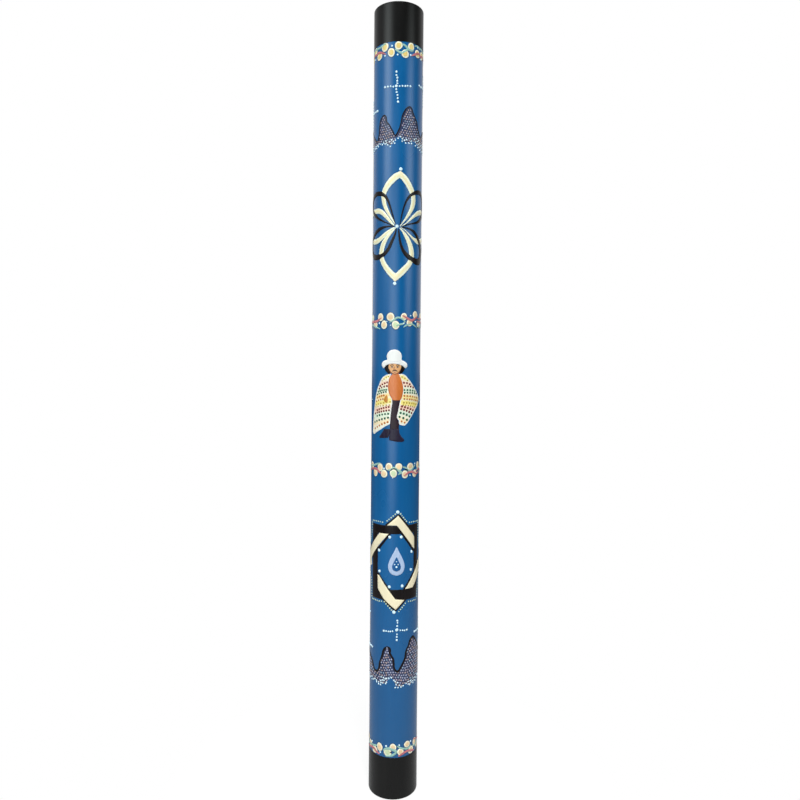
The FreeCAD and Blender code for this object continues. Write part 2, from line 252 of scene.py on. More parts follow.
# above the bottom cap
floral_band(
    "floral_4",
    green=(3,),
    beads=[
        (-18.0, 65.9, 4.4, 5.2), (0.0, 68.0, 4.3, 4.6), (19.4, 69.2, 4.5, 4.3),
        (-6.9, 61.3, 5.0, 5.4), (9.9, 61.6, 4.3, 4.4), (-26.5, 59.6, 4.8, 4.6),
        (25.9, 59.6, 4.5, 4.9), (33.8, 67.0, 4.2, 4.8), (-36.6, 63.4, 4.6, 4.4),
        (42.0, 60.4, 4.3, 4.6), (-45.5, 68.0, 4.3, 4.4)],
    teal=[
        [(-44, 62.2, 2.0), (-38, 62.0, 2.0), (-33, 63.4, 2.4), (-27.3, 64.6, 2.4),
         (-22.0, 66.6, 1.2)],
        [(-12.6, 62.6, 1.4), (-9.6, 65.4, 2.8), (-4.6, 66.2, 3.2), (0.6, 64.8, 3.4),
         (4.0, 62.2, 3.2), (1.4, 59.0, 2.8), (-4.0, 56.8, 2.4), (-9.6, 56.4, 1.4)],
        [(5.0, 69.7, 1.2), (10.3, 66.3, 2.2), (15.3, 64.5, 2.2), (20.3, 63.3, 2.2),
         (26.0, 66.0, 1.0)],
        [(28.5, 64.0, 1.0), (36, 61.6, 2.0), (44, 64.2, 1.8)]],
    crimson=[
        [(-46, 56.6, 2.2), (-38.5, 58.2, 2.6), (-32.3, 60.2, 3.0), (-27.3, 60.6, 3.0),
         (-22.3, 58.0, 2.6), (-17.6, 56.6, 1.0)],
        [(7.0, 56.2, 1.4), (11.5, 58.1, 2.8), (16.5, 59.8, 2.8), (21.5, 60.0, 2.8),
         (27.8, 58.0, 2.8), (32.0, 56.6, 1.6)],
        [(31.0, 71.4, 0.8), (37, 69.0, 2.0), (46, 66.0, 2.0)]],
    whites=[
        (-8.75, 69.1, 1.4), (-16.9, 59.2, 1.3), (8.2, 70.4, 1.1), (25.3, 71.0, 1.1),
        (-32.0, 68.0, 1.3)],
    black_dots=[(-2.7, 61.7, 1.0)],
)


# ------------------------------------------------------------------ dotted crosses
def cross(group, s, z, arm, up, down, radius, slope, lean, seed, middle=1.8, upright_dots=5):
    """Cross of dots round (s, z). slope tilts the arms; lean carries the foot sideways, in mm."""
    arm_dots = 5
    points = [(s, z, middle)]
    for side in (-1, 1):
        for k in range(arm_dots):
            d = (k + 1.0) / arm_dots * arm
            points.append((
                s + side * d,
                z + side * d * slope + 0.5 * (hash01(seed, k, side) - 0.5),
                radius * (0.9 + 0.25 * hash01(seed, k, side, 7))
                * (1.15 if k == arm_dots - 1 else 1)))
    end_radii = [radius] * (upright_dots - 1) + [radius * 1.15]
    for k, r in enumerate(end_radii):
        d = (k + 1.0) / upright_dots * up
        points.append((s + 0.7 * (hash01(seed, k, 3) - 0.5), z + d, r))
    for k, r in enumerate(end_radii):
        d = (k + 1.0) / upright_dots * down
        points.append((s + lean * d / down + 0.4 * (hash01(seed, k, 4) - 0.5), z - d, r))
    dots(group, "white", points, 0.55)


# (s, z, radius)
CROSS_1 = [
    (-2.6, 906.1, 1.75), (-2.5, 923.8, 1.4), (-2.6, 919.6, 1.2), (-1.4, 916.3, 1.3),
    (-1.5, 912.5, 1.25), (-1.4, 909.3, 1.1), (-2.6, 902.0, 1.2), (-2.1, 898.5, 1.25),
    (-1.1, 894.9, 1.2), (-0.75, 891.1, 1.2), (-0.25, 886.5, 1.4), (-17.5, 906.3, 1.4),
    (-13.5, 906.3, 1.3), (-9.9, 906.2, 1.15), (-6.4, 905.4, 1.2), (1.6, 905.9, 1.1),
    (5.25, 906.4, 1.15), (8.75, 906.6, 1.2), (11.6, 907.1, 1.2), (15.6, 907.3, 1.4)]
CROSS_2 = [(s, z, r * 0.9) for s, z, r in (
    (3.75, 220.0, 2.2), (4.25, 231.9, 1.4), (4.6, 229.0, 1.1), (4.25, 224.9, 1.3),
    (4.0, 214.3, 1.2), (3.75, 211.0, 1.25), (3.75, 207.0, 1.5), (-13.25, 217.8, 1.5),
    (-10.0, 217.9, 1.2), (-7.0, 217.9, 1.2), (-4.4, 217.9, 1.1), (-1.75, 218.3, 1.1),
    (8.4, 219.1, 1.2), (11.5, 218.8, 1.2), (14.25, 218.4, 1.2), (17.4, 218.8, 1.5))]
dots("cross_1a", "white", CROSS_1, 0.55)
dots("cross_1b", "white", [(s + HALF_TURN - 1.5, z - 13.5, r) for s, z, r in CROSS_1], 0.55)
cross("cross_1c", 49.4, 912.6, arm=18.0, up=18.0, down=19.5, radius=1.25, slope=0.03, lean=1.8,
      seed=3)
cross("cross_1d", -48.6, 879.6, arm=18.0, up=17.5, down=18.5, radius=1.3, slope=0.02, lean=-1.2,
      seed=5)
dots("cross_2a", "white", CROSS_2, 0.55)
dots("cross_2b", "white", [(s + HALF_TURN + 1.0, z - 4.0, r) for s, z, r in CROSS_2], 0.55)
cross("cross_2c", 48.5, 211.8, arm=17.2, up=13, down=13, radius=1.3, slope=-0.05, lean=0.0,
      seed=9, middle=2.0, upright_dots=3)
cross("cross_2d", -50.6, 190.8, arm=17.0, up=13, down=13, radius=1.3, slope=0.05, lean=0.0,
      seed=11, middle=2.0, upright_dots=3)
dots("cross_2d", "white", [(-42.0, 235.0, 1.3), (-45.4, 233.8, 1.4), (-49.0, 233.2, 1.3)], 0.5)

# ------------------------------------------------------------------ mountain bands
# (s, z) over half a turn. RIDGE is the skyline, HEM the lower edge of the dots that fill the
# band and FRINGE the white dots along it.
RIDGE_1 = [
    (-49.5, 858.5), (-46, 854.6), (-41.5, 850.4), (-37, 846.2), (-32.8, 842.4), (-29.6, 841.6),
    (-27.4, 847.6), (-26.6, 853.8), (-25.4, 861.3), (-24.1, 866.3), (-21.2, 870.2),
    (-18.3, 871.5), (-16, 869.8), (-15.3, 866.9), (-14.6, 863.0), (-12.3, 860.0), (-9.6, 856.0),
    (-6.4, 850.0), (-3.2, 844.9), (0.6, 850.8), (3.1, 858.0), (4, 863.8), (5.3, 869.4),
    (7.8, 875), (10.9, 879.4), (14.9, 882.0), (17.9, 880.2), (19.8, 875.2), (23.2, 870.0),
    (26.9, 864.2), (28.7, 858.0), (31.2, 851.8), (35.2, 847.6), (38.6, 850.6), (42, 855.0),
    (45.6, 858.0)]
RIDGE_2 = [
    (-49.5, 183.4), (-45, 181.0), (-40, 178.6), (-35.4, 175.8), (-32.3, 172.3), (-30.4, 167.5),
    (-28.5, 164.4), (-24.8, 163.2), (-21.6, 165), (-19.8, 168.8), (-18.8, 175), (-16.6, 181.3),
    (-14.8, 186.3), (-13.8, 191.3), (-11.6, 195), (-8.5, 197.0), (-5.6, 196.2), (-4.7, 193.1),
    (-5, 190), (-2.9, 186.3), (-0.8, 182.5), (0, 177.5), (0.5, 171.9), (2.1, 168.1),
    (4.4, 166.2), (7.1, 167.8), (9.6, 171.9), (12.8, 177.5), (15.3, 182.5), (15.9, 187.5),
    (17.1, 192.5), (20.3, 197.5), (22.1, 202.5), (24, 205.6), (27.8, 207.0), (30.9, 205),
    (34, 201.0), (38, 195.4), (42, 190.0), (46, 186.0)]
HEM_1 = [
    (-49.5, 833.6), (-44, 832.8), (-38, 832.4), (-33, 834.2), (-28, 836.5), (-20, 836),
    (-14, 833.5), (-9.6, 831.5), (-5, 835.5), (-2.6, 840.5), (2, 842.5), (5, 838.0), (9, 835.8),
    (16, 836.0), (20.5, 838.5), (22.5, 840.5), (24.5, 837.5), (30, 835.0), (36, 832.6),
    (42, 832.8), (46, 833.4)]
HEM_2 = [
    (-49.5, 150.5), (-44, 147.5), (-38, 148.0), (-32, 150), (-25.5, 150.0), (-20, 147.5),
    (-15, 147.8), (-10, 149.5), (-6.5, 156.5), (-3, 157.5), (0.5, 153.5), (3, 146.0),
    (8, 144.8), (12.5, 146.3), (17, 147.5), (21, 146.5), (26, 147), (32, 146.5), (38, 149),
    (43, 151.5), (46, 151.5)]
FRINGE_1 = [
    (-23.8, 836.5), (-21, 835.3), (-19.1, 837.3), (-16.6, 835.3), (-15.6, 839.0),
    (-14.8, 836.2), (-12.9, 833.8), (-10.6, 837.5), (-9.6, 831.5), (-7.9, 839.6), (-8.1, 835.3),
    (-5.8, 837.3), (-4.1, 835.3), (-3.3, 839.0), (0.3, 841.3), (3.1, 843.5), (5.5, 841.0),
    (5.3, 837.8), (8.1, 839.0), (9.9, 835.9), (11.0, 840.4), (14.4, 836.3), (17.3, 839.0),
    (18.0, 836.5), (22.6, 842.6), (25.4, 844.2), (24.2, 839.4), (27.6, 841.2), (30.6, 843.0),
    (24.4, 835.0), (27.6, 836.6), (30.6, 838.4), (33.8, 840.6), (28.6, 833.6), (31.6, 834.6),
    (34.6, 836.6), (37.6, 839.0), (33.4, 831.8), (36.6, 833.2), (39.8, 836.0), (42.6, 838.2),
    (38.4, 830.4), (41.6, 832.4), (45.2, 835.0), (44.0, 829.6), (47.8, 832.2), (48.2, 837.0),
    (-26.6, 837.6), (-29.5, 836.0), (-28.0, 834.2), (-32.6, 835.6), (-31.8, 832.8),
    (-35.6, 833.4), (-36.4, 836.4), (-38.6, 831.2), (-39.8, 834.6), (-42.4, 832.4),
    (-43.2, 829.4), (-43.6, 836.0), (-46.6, 830.6), (-47.4, 834.2)]
FRINGE_2 = [
    (-23.8, 151.0), (-23.5, 149.0), (-20.4, 149.8), (-20.4, 147.3), (-17.3, 152.5),
    (-16.6, 150.0), (-17.3, 147.3), (-14.8, 153.8), (-14.4, 150.0), (-12.5, 153.8),
    (-10.6, 156.0), (-8.8, 156.9), (-10.2, 150.0), (-9.1, 151.9), (-6.0, 157.0), (-2.6, 158.2),
    (-12.9, 157.3), (-16.3, 157.5), (0.5, 155.0), (2.1, 153.5), (5.3, 151.9), (3.4, 149.7),
    (2.4, 145.7), (5.9, 145.5), (9.9, 145.7), (7.8, 148.2), (12.8, 146.9), (17.1, 149.0),
    (20.2, 150.7), (21.5, 147.0), (22.6, 146.0), (24.0, 150.6), (25.3, 148.2), (27.8, 149.4),
    (29.0, 152.5), (29.0, 146.3), (31.5, 148.8), (34.0, 147.5), (33.8, 151.6), (37.5, 150.0),
    (38.5, 153.5), (42.0, 152.2), (46.5, 154.0), (-26.8, 152.0), (-30.0, 150.2), (-33.6, 152.4),
    (-34.0, 148.8), (-37.8, 150.4), (-41.6, 152.8), (-42.0, 149.0), (-46.0, 151.4)]


def level(line, s):
    """Height at s of a polyline that repeats every half turn."""
    s = (s + HALF_TURN / 2) % HALF_TURN - HALF_TURN / 2
    first, last = line[0], line[-1]
    wrapped = [(last[0] - HALF_TURN, last[1]), *line, (first[0] + HALF_TURN, first[1])]
    for (a, za), (b, zb) in zip(wrapped, wrapped[1:]):
        if a <= s <= b and b > a:
            return za + (zb - za) * (s - a) / (b - a)
    return first[1]  # the sliver before the seam, which the line doesn't reach


def mountain_fill(group, ridge, hem, half, seed, widen):
    """Staggered rows of jittered dots between hem and ridge, over one half of the pipe."""
    start = -HALF_TURN / 2 + half * HALF_TURN
    row_pitch, dot_pitch = 2.95 + 0.3 * widen, 3.15
    top = max(z for _, z in ridge)
    low = min(z for _, z in hem)
    row, z = 0, low
    while z < top:
        column = 0
        s = start + (dot_pitch / 2 if row % 2 else 0)
        while s < start + HALF_TURN - 0.4:
            key = column + 40 * row
            shift_s, shift_z, tint, size = (hash01(seed, key, half, n) for n in (1, 2, 3, 4))
            # how far the dots are stretched, away from the middle of this half
            wide = widen * min(1.0, max(0.0, (abs(s - half * HALF_TURN) - 13.0) / 14.0))
            dot_s = s + 0.7 * (shift_s - 0.5)
            dot_z = z + (0.7 * (shift_z - 0.5) + 1.1 * math.sin(s * 0.19 + seed))
            inside = level(hem, dot_s) + 0.6 < dot_z < level(ridge, dot_s) - 1.9
            # keep clear of the ridge line sideways as well
            if inside and all(dot_z < level(ridge, dot_s + q) - 0.5 for q in (-1.7, 1.7)):
                colour = ("dot_tan" if tint < 0.24 else "dot_rose" if tint < 0.55
                          else "dot_lilac" if tint < 0.87 else "dot_sky")
                radius = (0.84 + 0.20 * size) * (1.0 - 0.08 * ((dot_z - low) / (top - low)))
                radius *= 1.0 + 0.12 * widen
                dots(group, colour, [(dot_s, dot_z, radius * (1 + 0.25 * wide), radius)], 0.32)
            s += dot_pitch * (1.0 + 0.34 * wide)
            column += 1
        z += row_pitch
        row += 1


def mountains(name, ridge, hem, fringe, stroke, seed, widen):
    """One mountain band. stroke is the ridge's width; widen (0 or 1) opens out the dots."""
    for half in (0, 1):
        # dark underpainting between the ridge and the hem
        start = -HALF_TURN / 2 + half * HALF_TURN
        stations = [start + i * HALF_TURN / 90.0 for i in range(91)]
        outline = [(s, level(ridge, s) - 0.2) for s in stations]
        outline += [(s, level(hem, s) + 1.6) for s in reversed(stations)]
        patch(name + "_under", "under", outline, 0.06)
        # the ridge's width varies a little; it ends as it begins
        run = shifted(ridge, half * HALF_TURN)
        run.append((ridge[0][0] + (half + 1) * HALF_TURN, ridge[0][1]))
        line = [(s, z, stroke * (0.85 + 0.3 * hash01(seed, i % len(ridge))))
                for i, (s, z) in enumerate(run)]
        ribbon(name + "_ridge", "black", line, 0.40)
        mountain_fill(name + "_fill", ridge, hem, half, seed, widen)
        dots(name + "_fringe", "white", shifted(fringe, half * HALF_TURN), 0.5, radius=0.98)


mountains("mountain_1", RIDGE_1, HEM_1, FRINGE_1, stroke=1.4, seed=21, widen=0.0)
mountains("mountain_2", RIDGE_2, HEM_2, FRINGE_2, stroke=2.7, seed=33, widen=1.0)


@both_sides
def narrow_peak_dots():
    """Four dots in the peak too narrow for the regular rows."""
    dots("mountain_2_fill", "dot_lilac",
         [(-8.5, 196.2), (-8.7, 193.2), (-10.3, 190.4), (-7.2, 190.0)], 0.48, radius=1.0)


narrow_peak_dots()

# ------------------------------------------------------------------ petal rosette
# Strokes of (s, z, width); most end in the middle of the rosette.
CREAM_LOOP = [  # pointed loop: upper left and right, then lower left and right
    [(3.4, 796.6, 7.4), (-2.0, 793.9, 8.0), (-7.1, 789.6, 8.2), (-11.6, 784.9, 8.0),
     (-15.5, 779.4, 7.6), (-18.1, 773.8, 7.1), (-18.4, 768.2, 6.5), (-17.5, 762.0, 5.9),
     (-15.4, 756.0, 5.1), (-12.5, 750.4, 4.0), (-9.2, 744.9, 2.8), (-5.8, 739.6, 1.8),
     (-2.5, 734.2, 0.9)],
    [(3.0, 796.6, 7.4), (8.2, 792.6, 8.0), (12.4, 787.6, 8.2), (16.0, 782.2, 8.0),
     (19.2, 776.6, 7.8), (21.3, 771.0, 7.4), (21.7, 764.7, 7.0), (20.4, 758.5, 6.3),
     (17.8, 752.7, 5.1), (14.6, 747.2, 3.9), (11.0, 742.0, 2.6), (7.2, 737.0, 1.6),
     (3.3, 731.9, 0.9)],
    [(-1.8, 667.4, 7.4), (-6.5, 671.8, 7.6), (-10.8, 676.5, 7.2), (-14.7, 681.5, 6.8),
     (-18.1, 686.8, 6.6), (-20.6, 692.6, 6.8), (-21.3, 698.8, 7.2), (-20.4, 705.0, 7.1),
     (-18.1, 710.9, 6.4), (-14.7, 716.2, 5.1), (-10.6, 721.0, 3.6), (-6.2, 725.5, 2.4),
     (-2.0, 730.2, 1.2)],
    [(-1.4, 667.4, 7.4), (3.1, 671.8, 7.8), (7.6, 676.1, 7.8), (12.0, 680.6, 7.4),
     (16.0, 685.3, 6.8), (18.7, 690.8, 7.1), (19.6, 696.8, 7.6), (19.0, 703.0, 7.4),
     (17.2, 709.0, 6.7), (14.6, 714.7, 5.8), (11.3, 720.0, 4.6), (7.7, 725.0, 2.7),
     (3.4, 729.6, 1.3)]]
CREAM_PETALS = [  # side petals in the same order; they run out to meet the neighbour's
    [(-49.6, 749.6, 6.0), (-44.0, 752.0, 6.2), (-38.5, 753.2, 6.3), (-33.1, 753.3, 6.4),
     (-27.8, 753.1, 6.3), (-22.6, 751.4, 6.0), (-18.4, 748.4, 5.4), (-14.6, 744.6, 4.5),
     (-11.0, 740.6, 3.7), (-7.5, 736.5, 2.8), (-3.6, 732.7, 1.0)],
    [(49.6, 749.6, 6.0), (46.1, 752.6, 6.2), (40.8, 753.5, 6.4), (35.6, 752.7, 6.4),
     (30.4, 751.0, 5.8), (25.9, 748.4, 4.8), (21.7, 745.3, 3.6), (17.8, 741.9, 2.5),
     (13.8, 738.3, 1.7), (9.9, 734.9, 1.1), (4.6, 731.6, 0.6)],
    [(-49.6, 719.6, 6.2), (-44.4, 717.4, 6.3), (-39.3, 715.7, 6.4), (-34.3, 714.8, 6.6),
     (-29.1, 715.1, 6.7), (-24.3, 716.7, 6.1), (-19.8, 719.3, 5.4), (-15.6, 722.3, 4.7),
     (-11.4, 725.2, 3.9), (-7.4, 728.1, 2.6), (-3.1, 730.6, 0.8)],
    [(49.6, 719.6, 7.2), (45.6, 718.8, 7.6), (41.3, 717.4, 7.6), (36.5, 715.6, 7.6),
     (31.6, 714.9, 7.0), (26.7, 715.9, 5.2), (22.1, 717.9, 3.4), (17.9, 720.7, 2.2),
     (13.9, 723.9, 1.5), (10.1, 727.2, 1.0), (4.4, 730.6, 0.6)]]
CREAM_TIPS = [  # (s, z) outlines that close the loop's upper and lower points
    [(4.0, 800.7), (7.0, 798.6), (6.2, 795.0), (2.9, 792.5), (0.0, 795.6), (0.8, 799.6)],
    [(-2.2, 662.2), (1.2, 665.2), (1.4, 670.6), (-1.2, 673.5), (-4.6, 670.2), (-5.2, 665.4)]]
BLACK_PETALS = [  # each is one stroke from the middle, round its own side and back
    [(-2.4, 734.6, 0.8), (-3.0, 736.6, 1.0), (-4.6, 741.9, 1.5), (-6.4, 747.8, 1.8),
     (-8.2, 753.7, 2.1), (-10.2, 759.6, 2.5), (-12.6, 765.2, 3.1), (-16.2, 770.2, 4.1),
     (-21.1, 773.5, 5.2), (-27.0, 775.0, 5.8), (-33.2, 774.6, 5.9), (-39.0, 772.4, 5.9),
     (-43.2, 768.0, 5.7), (-45.0, 762.0, 5.6), (-43.0, 756.6, 5.6), (-38.5, 752.3, 5.4),
     (-33.5, 748.1, 4.4), (-28.2, 744.4, 3.3), (-22.5, 741.0, 2.4), (-16.6, 737.9, 1.8),
     (-10.4, 735.1, 1.4), (-4.3, 732.4, 0.8)],
    [(2.8, 733.4, 0.7), (4.2, 738.4, 1.1), (5.4, 745.1, 1.5), (7.0, 751.8, 1.8),
     (9.1, 758.3, 2.1), (11.8, 764.6, 2.6), (15.8, 770.2, 3.4), (21.2, 774.2, 4.4),
     (27.4, 776.9, 5.4), (34.1, 777.8, 5.8), (40.2, 776.0, 5.7), (44.6, 770.8, 5.5),
     (46.0, 763.6, 5.3), (44.6, 755.4, 5.1), (41.0, 749.2, 4.9), (36.2, 744.2, 4.2),
     (30.6, 740.4, 3.2), (24.4, 737.8, 2.3), (17.2, 735.8, 1.6), (11.6, 733.9, 1.2),
     (5.0, 731.8, 0.7)],
    [(-1.2, 728.6, 1.4), (-2.0, 724.0, 2.2), (-3.4, 720.0, 2.8), (-6.0, 714.3, 3.4),
     (-8.6, 708.6, 4.0), (-11.6, 703.1, 4.5), (-15.8, 698.6, 5.1), (-21.2, 695.7, 6.0),
     (-27.4, 694.7, 6.7), (-33.6, 695.2, 6.9), (-39.6, 697.8, 6.6), (-43.8, 702.8, 6.2),
     (-45.2, 709.2, 5.9), (-43.2, 716.0, 5.7), (-38.6, 721.4, 5.5), (-33.2, 725.6, 5.2),
     (-27.7, 728.3, 5.0), (-22.1, 730.4, 4.2), (-16.4, 731.6, 2.8), (-10.4, 732.0, 1.8),
     (-3.4, 731.8, 0.9)],
    [(1.6, 728.4, 1.2), (2.1, 724.6, 1.9), (2.7, 719.3, 2.3), (3.7, 713.2, 2.8),
     (5.3, 707.3, 3.5), (7.9, 701.6, 4.4), (11.8, 696.9, 5.3), (16.9, 693.3, 6.3),
     (22.5, 690.8, 7.3), (28.4, 689.4, 8.0), (34.2, 690.6, 8.2), (38.0, 695.6, 8.0),
     (38.9, 702.4, 7.8), (37.6, 709.0, 7.2), (34.6, 714.2, 6.6), (31.4, 718.0, 5.9),
     (28.4, 721.7, 5.1), (25.2, 724.9, 4.2), (21.2, 727.5, 3.4), (16.9, 729.1, 2.6),
     (12.1, 730.2, 1.9), (6.0, 731.0, 0.9)]]


@both_sides
def rosette():
    for strokes, height in ((CREAM_LOOP, 0.30), (CREAM_PETALS, 0.28)):
        for stroke in strokes:
            # a thin dark line shows round each cream stroke; a warmer core runs along it
            backing = [(s, z, w + 0.9 if w > 1 else w) for s, z, w in stroke]
            core = [(s, z, w * 0.52) for s, z, w in stroke if w > 2.0]
            ribbon("rosette_line", "navy", backing, 0.12)
            ribbon("rosette_cream", "cream_edge", stroke, height)
            ribbon("rosette_core", "cream_warm", core, height + 0.05)
    for tip in CREAM_TIPS:
        patch("rosette_cream", "cream", tip, 0.30)
    for stroke in BLACK_PETALS:
        ribbon("rosette_black", "black", stroke, 0.44)
    dots("rosette_dots", "white",
         [(-0.3, 731.7, 2.1), (3.9, 803.2, 2.15), (-2.6, 660.2, 2.1)], 0.7)


rosette()

# ------------------------------------------------------------------ medallion
# (s, z) outlines and lines
FRAME_BARS = [
    [(-34.2, 353.6), (37.2, 353.4), (37.2, 342.8), (-34.2, 342.8)],
    [(-34.2, 271.6), (36.4, 271.6), (34.6, 257.6), (-34.2, 257.6)],
    [(-34.2, 343.4), (-23.3, 343.4), (-23.3, 271.0), (-34.2, 271.0)],
    [(28.0, 343.4), (37.2, 343.4), (36.4, 271.0), (27.8, 271.0)]]
DIAMOND_EDGES = [
    [(-11.6, 353.3), (4.2, 366.9), (18.6, 351.6)],
    [(-15.1, 258.6), (1.9, 245.0), (15.2, 258.4)],
    [(-6.0, 343.2), (-23.2, 320.4)], [(9.2, 343.2), (27.5, 319.0)],
    [(-22.8, 291.0), (-4.6, 269.2)], [(27.8, 291.0), (12.2, 270.8)]]
DIAMOND_HAIRLINES = [  # where the diamond passes over a bar
    [(3.6, 351.6), (26.0, 322.2)], [(5.8, 367.6), (29.8, 338.0)],
    [(-22.0, 343.0), (-37.6, 325.4), (-49.6, 313.4)], [(-7.8, 341.6), (-36.4, 307.4)],
    [(-24.2, 272.0), (-12.6, 256.4)], [(-20.0, 288.6), (2.0, 260.0)],
    [(27.6, 271.6), (41.0, 285.4), (49.4, 298.8)],
    [(14.2, 273.4), (27.6, 290.0), (38.8, 304.0), (49.4, 313.2)]]
DIAMOND = [
    [(-10.0, 353.7), (4.4, 366.6), (28.8, 336.9), (29.0, 321.2), (25.6, 324.2), (3.4, 353.2),
     (1.8, 353.9)],
    [(-20.6, 342.8), (-8.0, 342.8), (-23.4, 324.8), (-36.2, 309.2), (-38.2, 305.6),
     (-37.2, 298.0), (-44.0, 295.0), (-49.6, 300.4), (-49.6, 311.6), (-46.0, 315.0),
     (-41.0, 319.4), (-33.6, 327.6)],
    [(-23.5, 288.6), (-20.8, 288.4), (1.5, 259.4), (13.4, 257.9), (2.0, 245.9),
     (-13.6, 258.8), (-22.8, 271.0)],
    [(14.3, 271.6), (26.5, 271.6), (40.2, 286.2), (46.0, 291.6), (49.4, 300.4), (49.4, 311.6),
     (44.5, 309.0), (39.6, 303.4), (36.4, 299.2), (27.8, 288.6)]]
BEAD_ROWS = [  # (gap between dots, line), rows of small dots outside the star
    (3.1, [(7.4, 368.6), (11.4, 363.4), (16.2, 357.9)]),
    (3.3, [(0.6, 368.3), (-5.8, 362.9), (-12.2, 357.5)]),
    (3.3, [(-16.2, 357.0), (-22, 357.4), (-29, 357.0), (-34.4, 356.6)]),
    (3.3, [(20.2, 356.6), (26, 356.4), (32, 356.2), (37.6, 356.0)]),
    (3.3, [(-3.2, 245.6), (-8.0, 250.6), (-13.4, 255.8)]),
    (3.1, [(6.2, 243.6), (11.2, 249.2), (16.4, 255.2)]),
    (3.3, [(-16.9, 255.2), (-22, 254.8), (-29, 254.8), (-34.0, 254.6)]),
    (3.3, [(19.6, 254.8), (25, 254.2), (31, 254.0), (35.4, 253.8)]),
    (3.3, [(-36.4, 353.6), (-37.0, 345.0), (-38.2, 338.0), (-40.8, 331.5), (-45.0, 326.5),
           (-49.2, 323.4)]),
    (3.3, [(39.4, 353.0), (39.8, 342.5), (40.4, 334.0), (42.8, 327.4), (46.8, 323.8)]),
    (3.3, [(-36.4, 257.0), (-36.8, 268.0), (-37.8, 276.0), (-40.4, 282.6), (-44.6, 287.6),
           (-49.2, 290.6)]),
    (3.3, [(37.2, 256.6), (38.4, 266.0), (41.0, 274.0), (44.4, 281.0), (47.8, 287.6)])]
EMBLEM_DROP = [
    (2.6, 326.0), (5.6, 320.6), (9.4, 313.4), (12.4, 306.4), (13.4, 300.6), (11.8, 295.0),
    (8.0, 291.2), (2.6, 289.8), (-2.8, 291.2), (-6.6, 295.0), (-8.2, 300.6), (-7.2, 306.4),
    (-4.2, 313.4), (-0.4, 320.6)]
EMBLEM_HEART = [
    (2.6, 313.5), (5.2, 309.0), (7.4, 304.4), (8.2, 300.6), (7.0, 297.0), (2.6, 295.0),
    (-1.8, 297.0), (-3.0, 300.6), (-2.2, 304.4), (0.0, 309.0)]


def bead_row(line, gap, seed):
    """Dots about gap mm apart along a smoothed line."""
    curve = spline(line, step=0.2)
    run, places = 0.0, [curve[0]]
    for a, b in zip(curve, curve[1:]):
        run += distance(a, b)
        if run >= gap:
            run = 0.0
            places.append(b)
    beads = [(s, z, 0.86 * (0.88 + 0.24 * hash01(int(s * 10), seed))) for s, z in places]
    dots("medallion_beads", "bead_pale", beads, 0.42)


@both_sides
def medallion():
    """Black frame laced with a cream diamond, and a drop-shaped emblem in the middle."""
    for bar in FRAME_BARS:
        patch("medallion_frame", "black", bar, 0.22)
    for line in DIAMOND_EDGES:
        ribbon("medallion_frame", "black", line, 0.24, width=2.8, smooth=False)
    for line in DIAMOND_HAIRLINES:
        ribbon("medallion_frame", "black", line, 0.40, width=0.9, smooth=False)
    for outline in DIAMOND:
        patch("medallion_diamond", "cream", outline, 0.36)
    # eight dots in the field, then one beyond each tip of the diamond
    dots("medallion_dots", "white",
         [(-6.3, 338.8), (8.6, 339.0), (24.0, 318.4), (23.1, 295.2), (10.3, 276.0),
          (-6.4, 275.2), (-20.4, 293.6), (-21.3, 320.4)], 0.6, radius=1.85)
    dots("medallion_dots", "white", [(3.7, 371.0), (-0.1, 242.9)], 0.7, radius=2.15)
    for i, (gap, line) in enumerate(BEAD_ROWS):
        bead_row(line, gap, seed=i + 1)
    patch("medallion_emblem", "pale", EMBLEM_DROP, 0.24, smooth=True)
    patch("medallion_emblem", "blue_heart", EMBLEM_HEART, 0.34, smooth=True)
    dots("medallion_emblem", "white",
         [(2.6, 300.8, 1.5), (0.4, 304.0, 0.8), (4.8, 304.0, 0.8), (2.6, 307.6, 0.8)], 0.5)


medallion()

# ------------------------------------------------------------------ standing figure in a poncho
# (s, z) outlines
PONCHO_LEFT = [
    (-6.8, 545.8), (-12.3, 544.4), (-16.6, 541.9), (-19.8, 538.1), (-22.3, 533.1),
    (-25.4, 527.5), (-27.3, 522.5), (-28.8, 517.5), (-30.4, 510), (-32.3, 500), (-33.8, 492.5),
    (-34.6, 485), (-35.4, 476.3), (-36.0, 471.3), (-32.9, 469.3), (-27.3, 472.3), (-21, 475.6),
    (-14.8, 479.6), (-7.4, 483.6), (-7.0, 492.5), (-6.0, 502.5), (-5.0, 510), (-5.4, 515.5),
    (-7.3, 519.0), (-9.1, 524.5), (-9.9, 530), (-9.6, 536.4), (-8.0, 542)]
PONCHO_RIGHT = [
    (3.6, 545.6), (7.8, 545.8), (12.1, 543.9), (16.5, 539.4), (22.1, 533.1), (27.8, 526.3),
    (32.8, 520.2), (35.8, 515.6), (36.2, 511.6), (33.4, 507.5), (29, 502.5), (24, 496.3),
    (19, 490), (15.3, 485), (11.5, 481.4), (5.3, 483.1), (4.6, 487.5), (2.1, 491.9),
    (3.4, 498.8), (4.6, 505), (6.1, 512.5), (7.4, 516.6), (8.8, 521.4), (9.4, 527.5),
    (8.8, 532.5), (7.0, 539)]
PONCHO_ROW_COLOURS = (
    "d_olive d_red d_red d_green d_green d_orange d_orange "
    "d_olive d_olive d_red d_red d_green d_green d_orange").split()
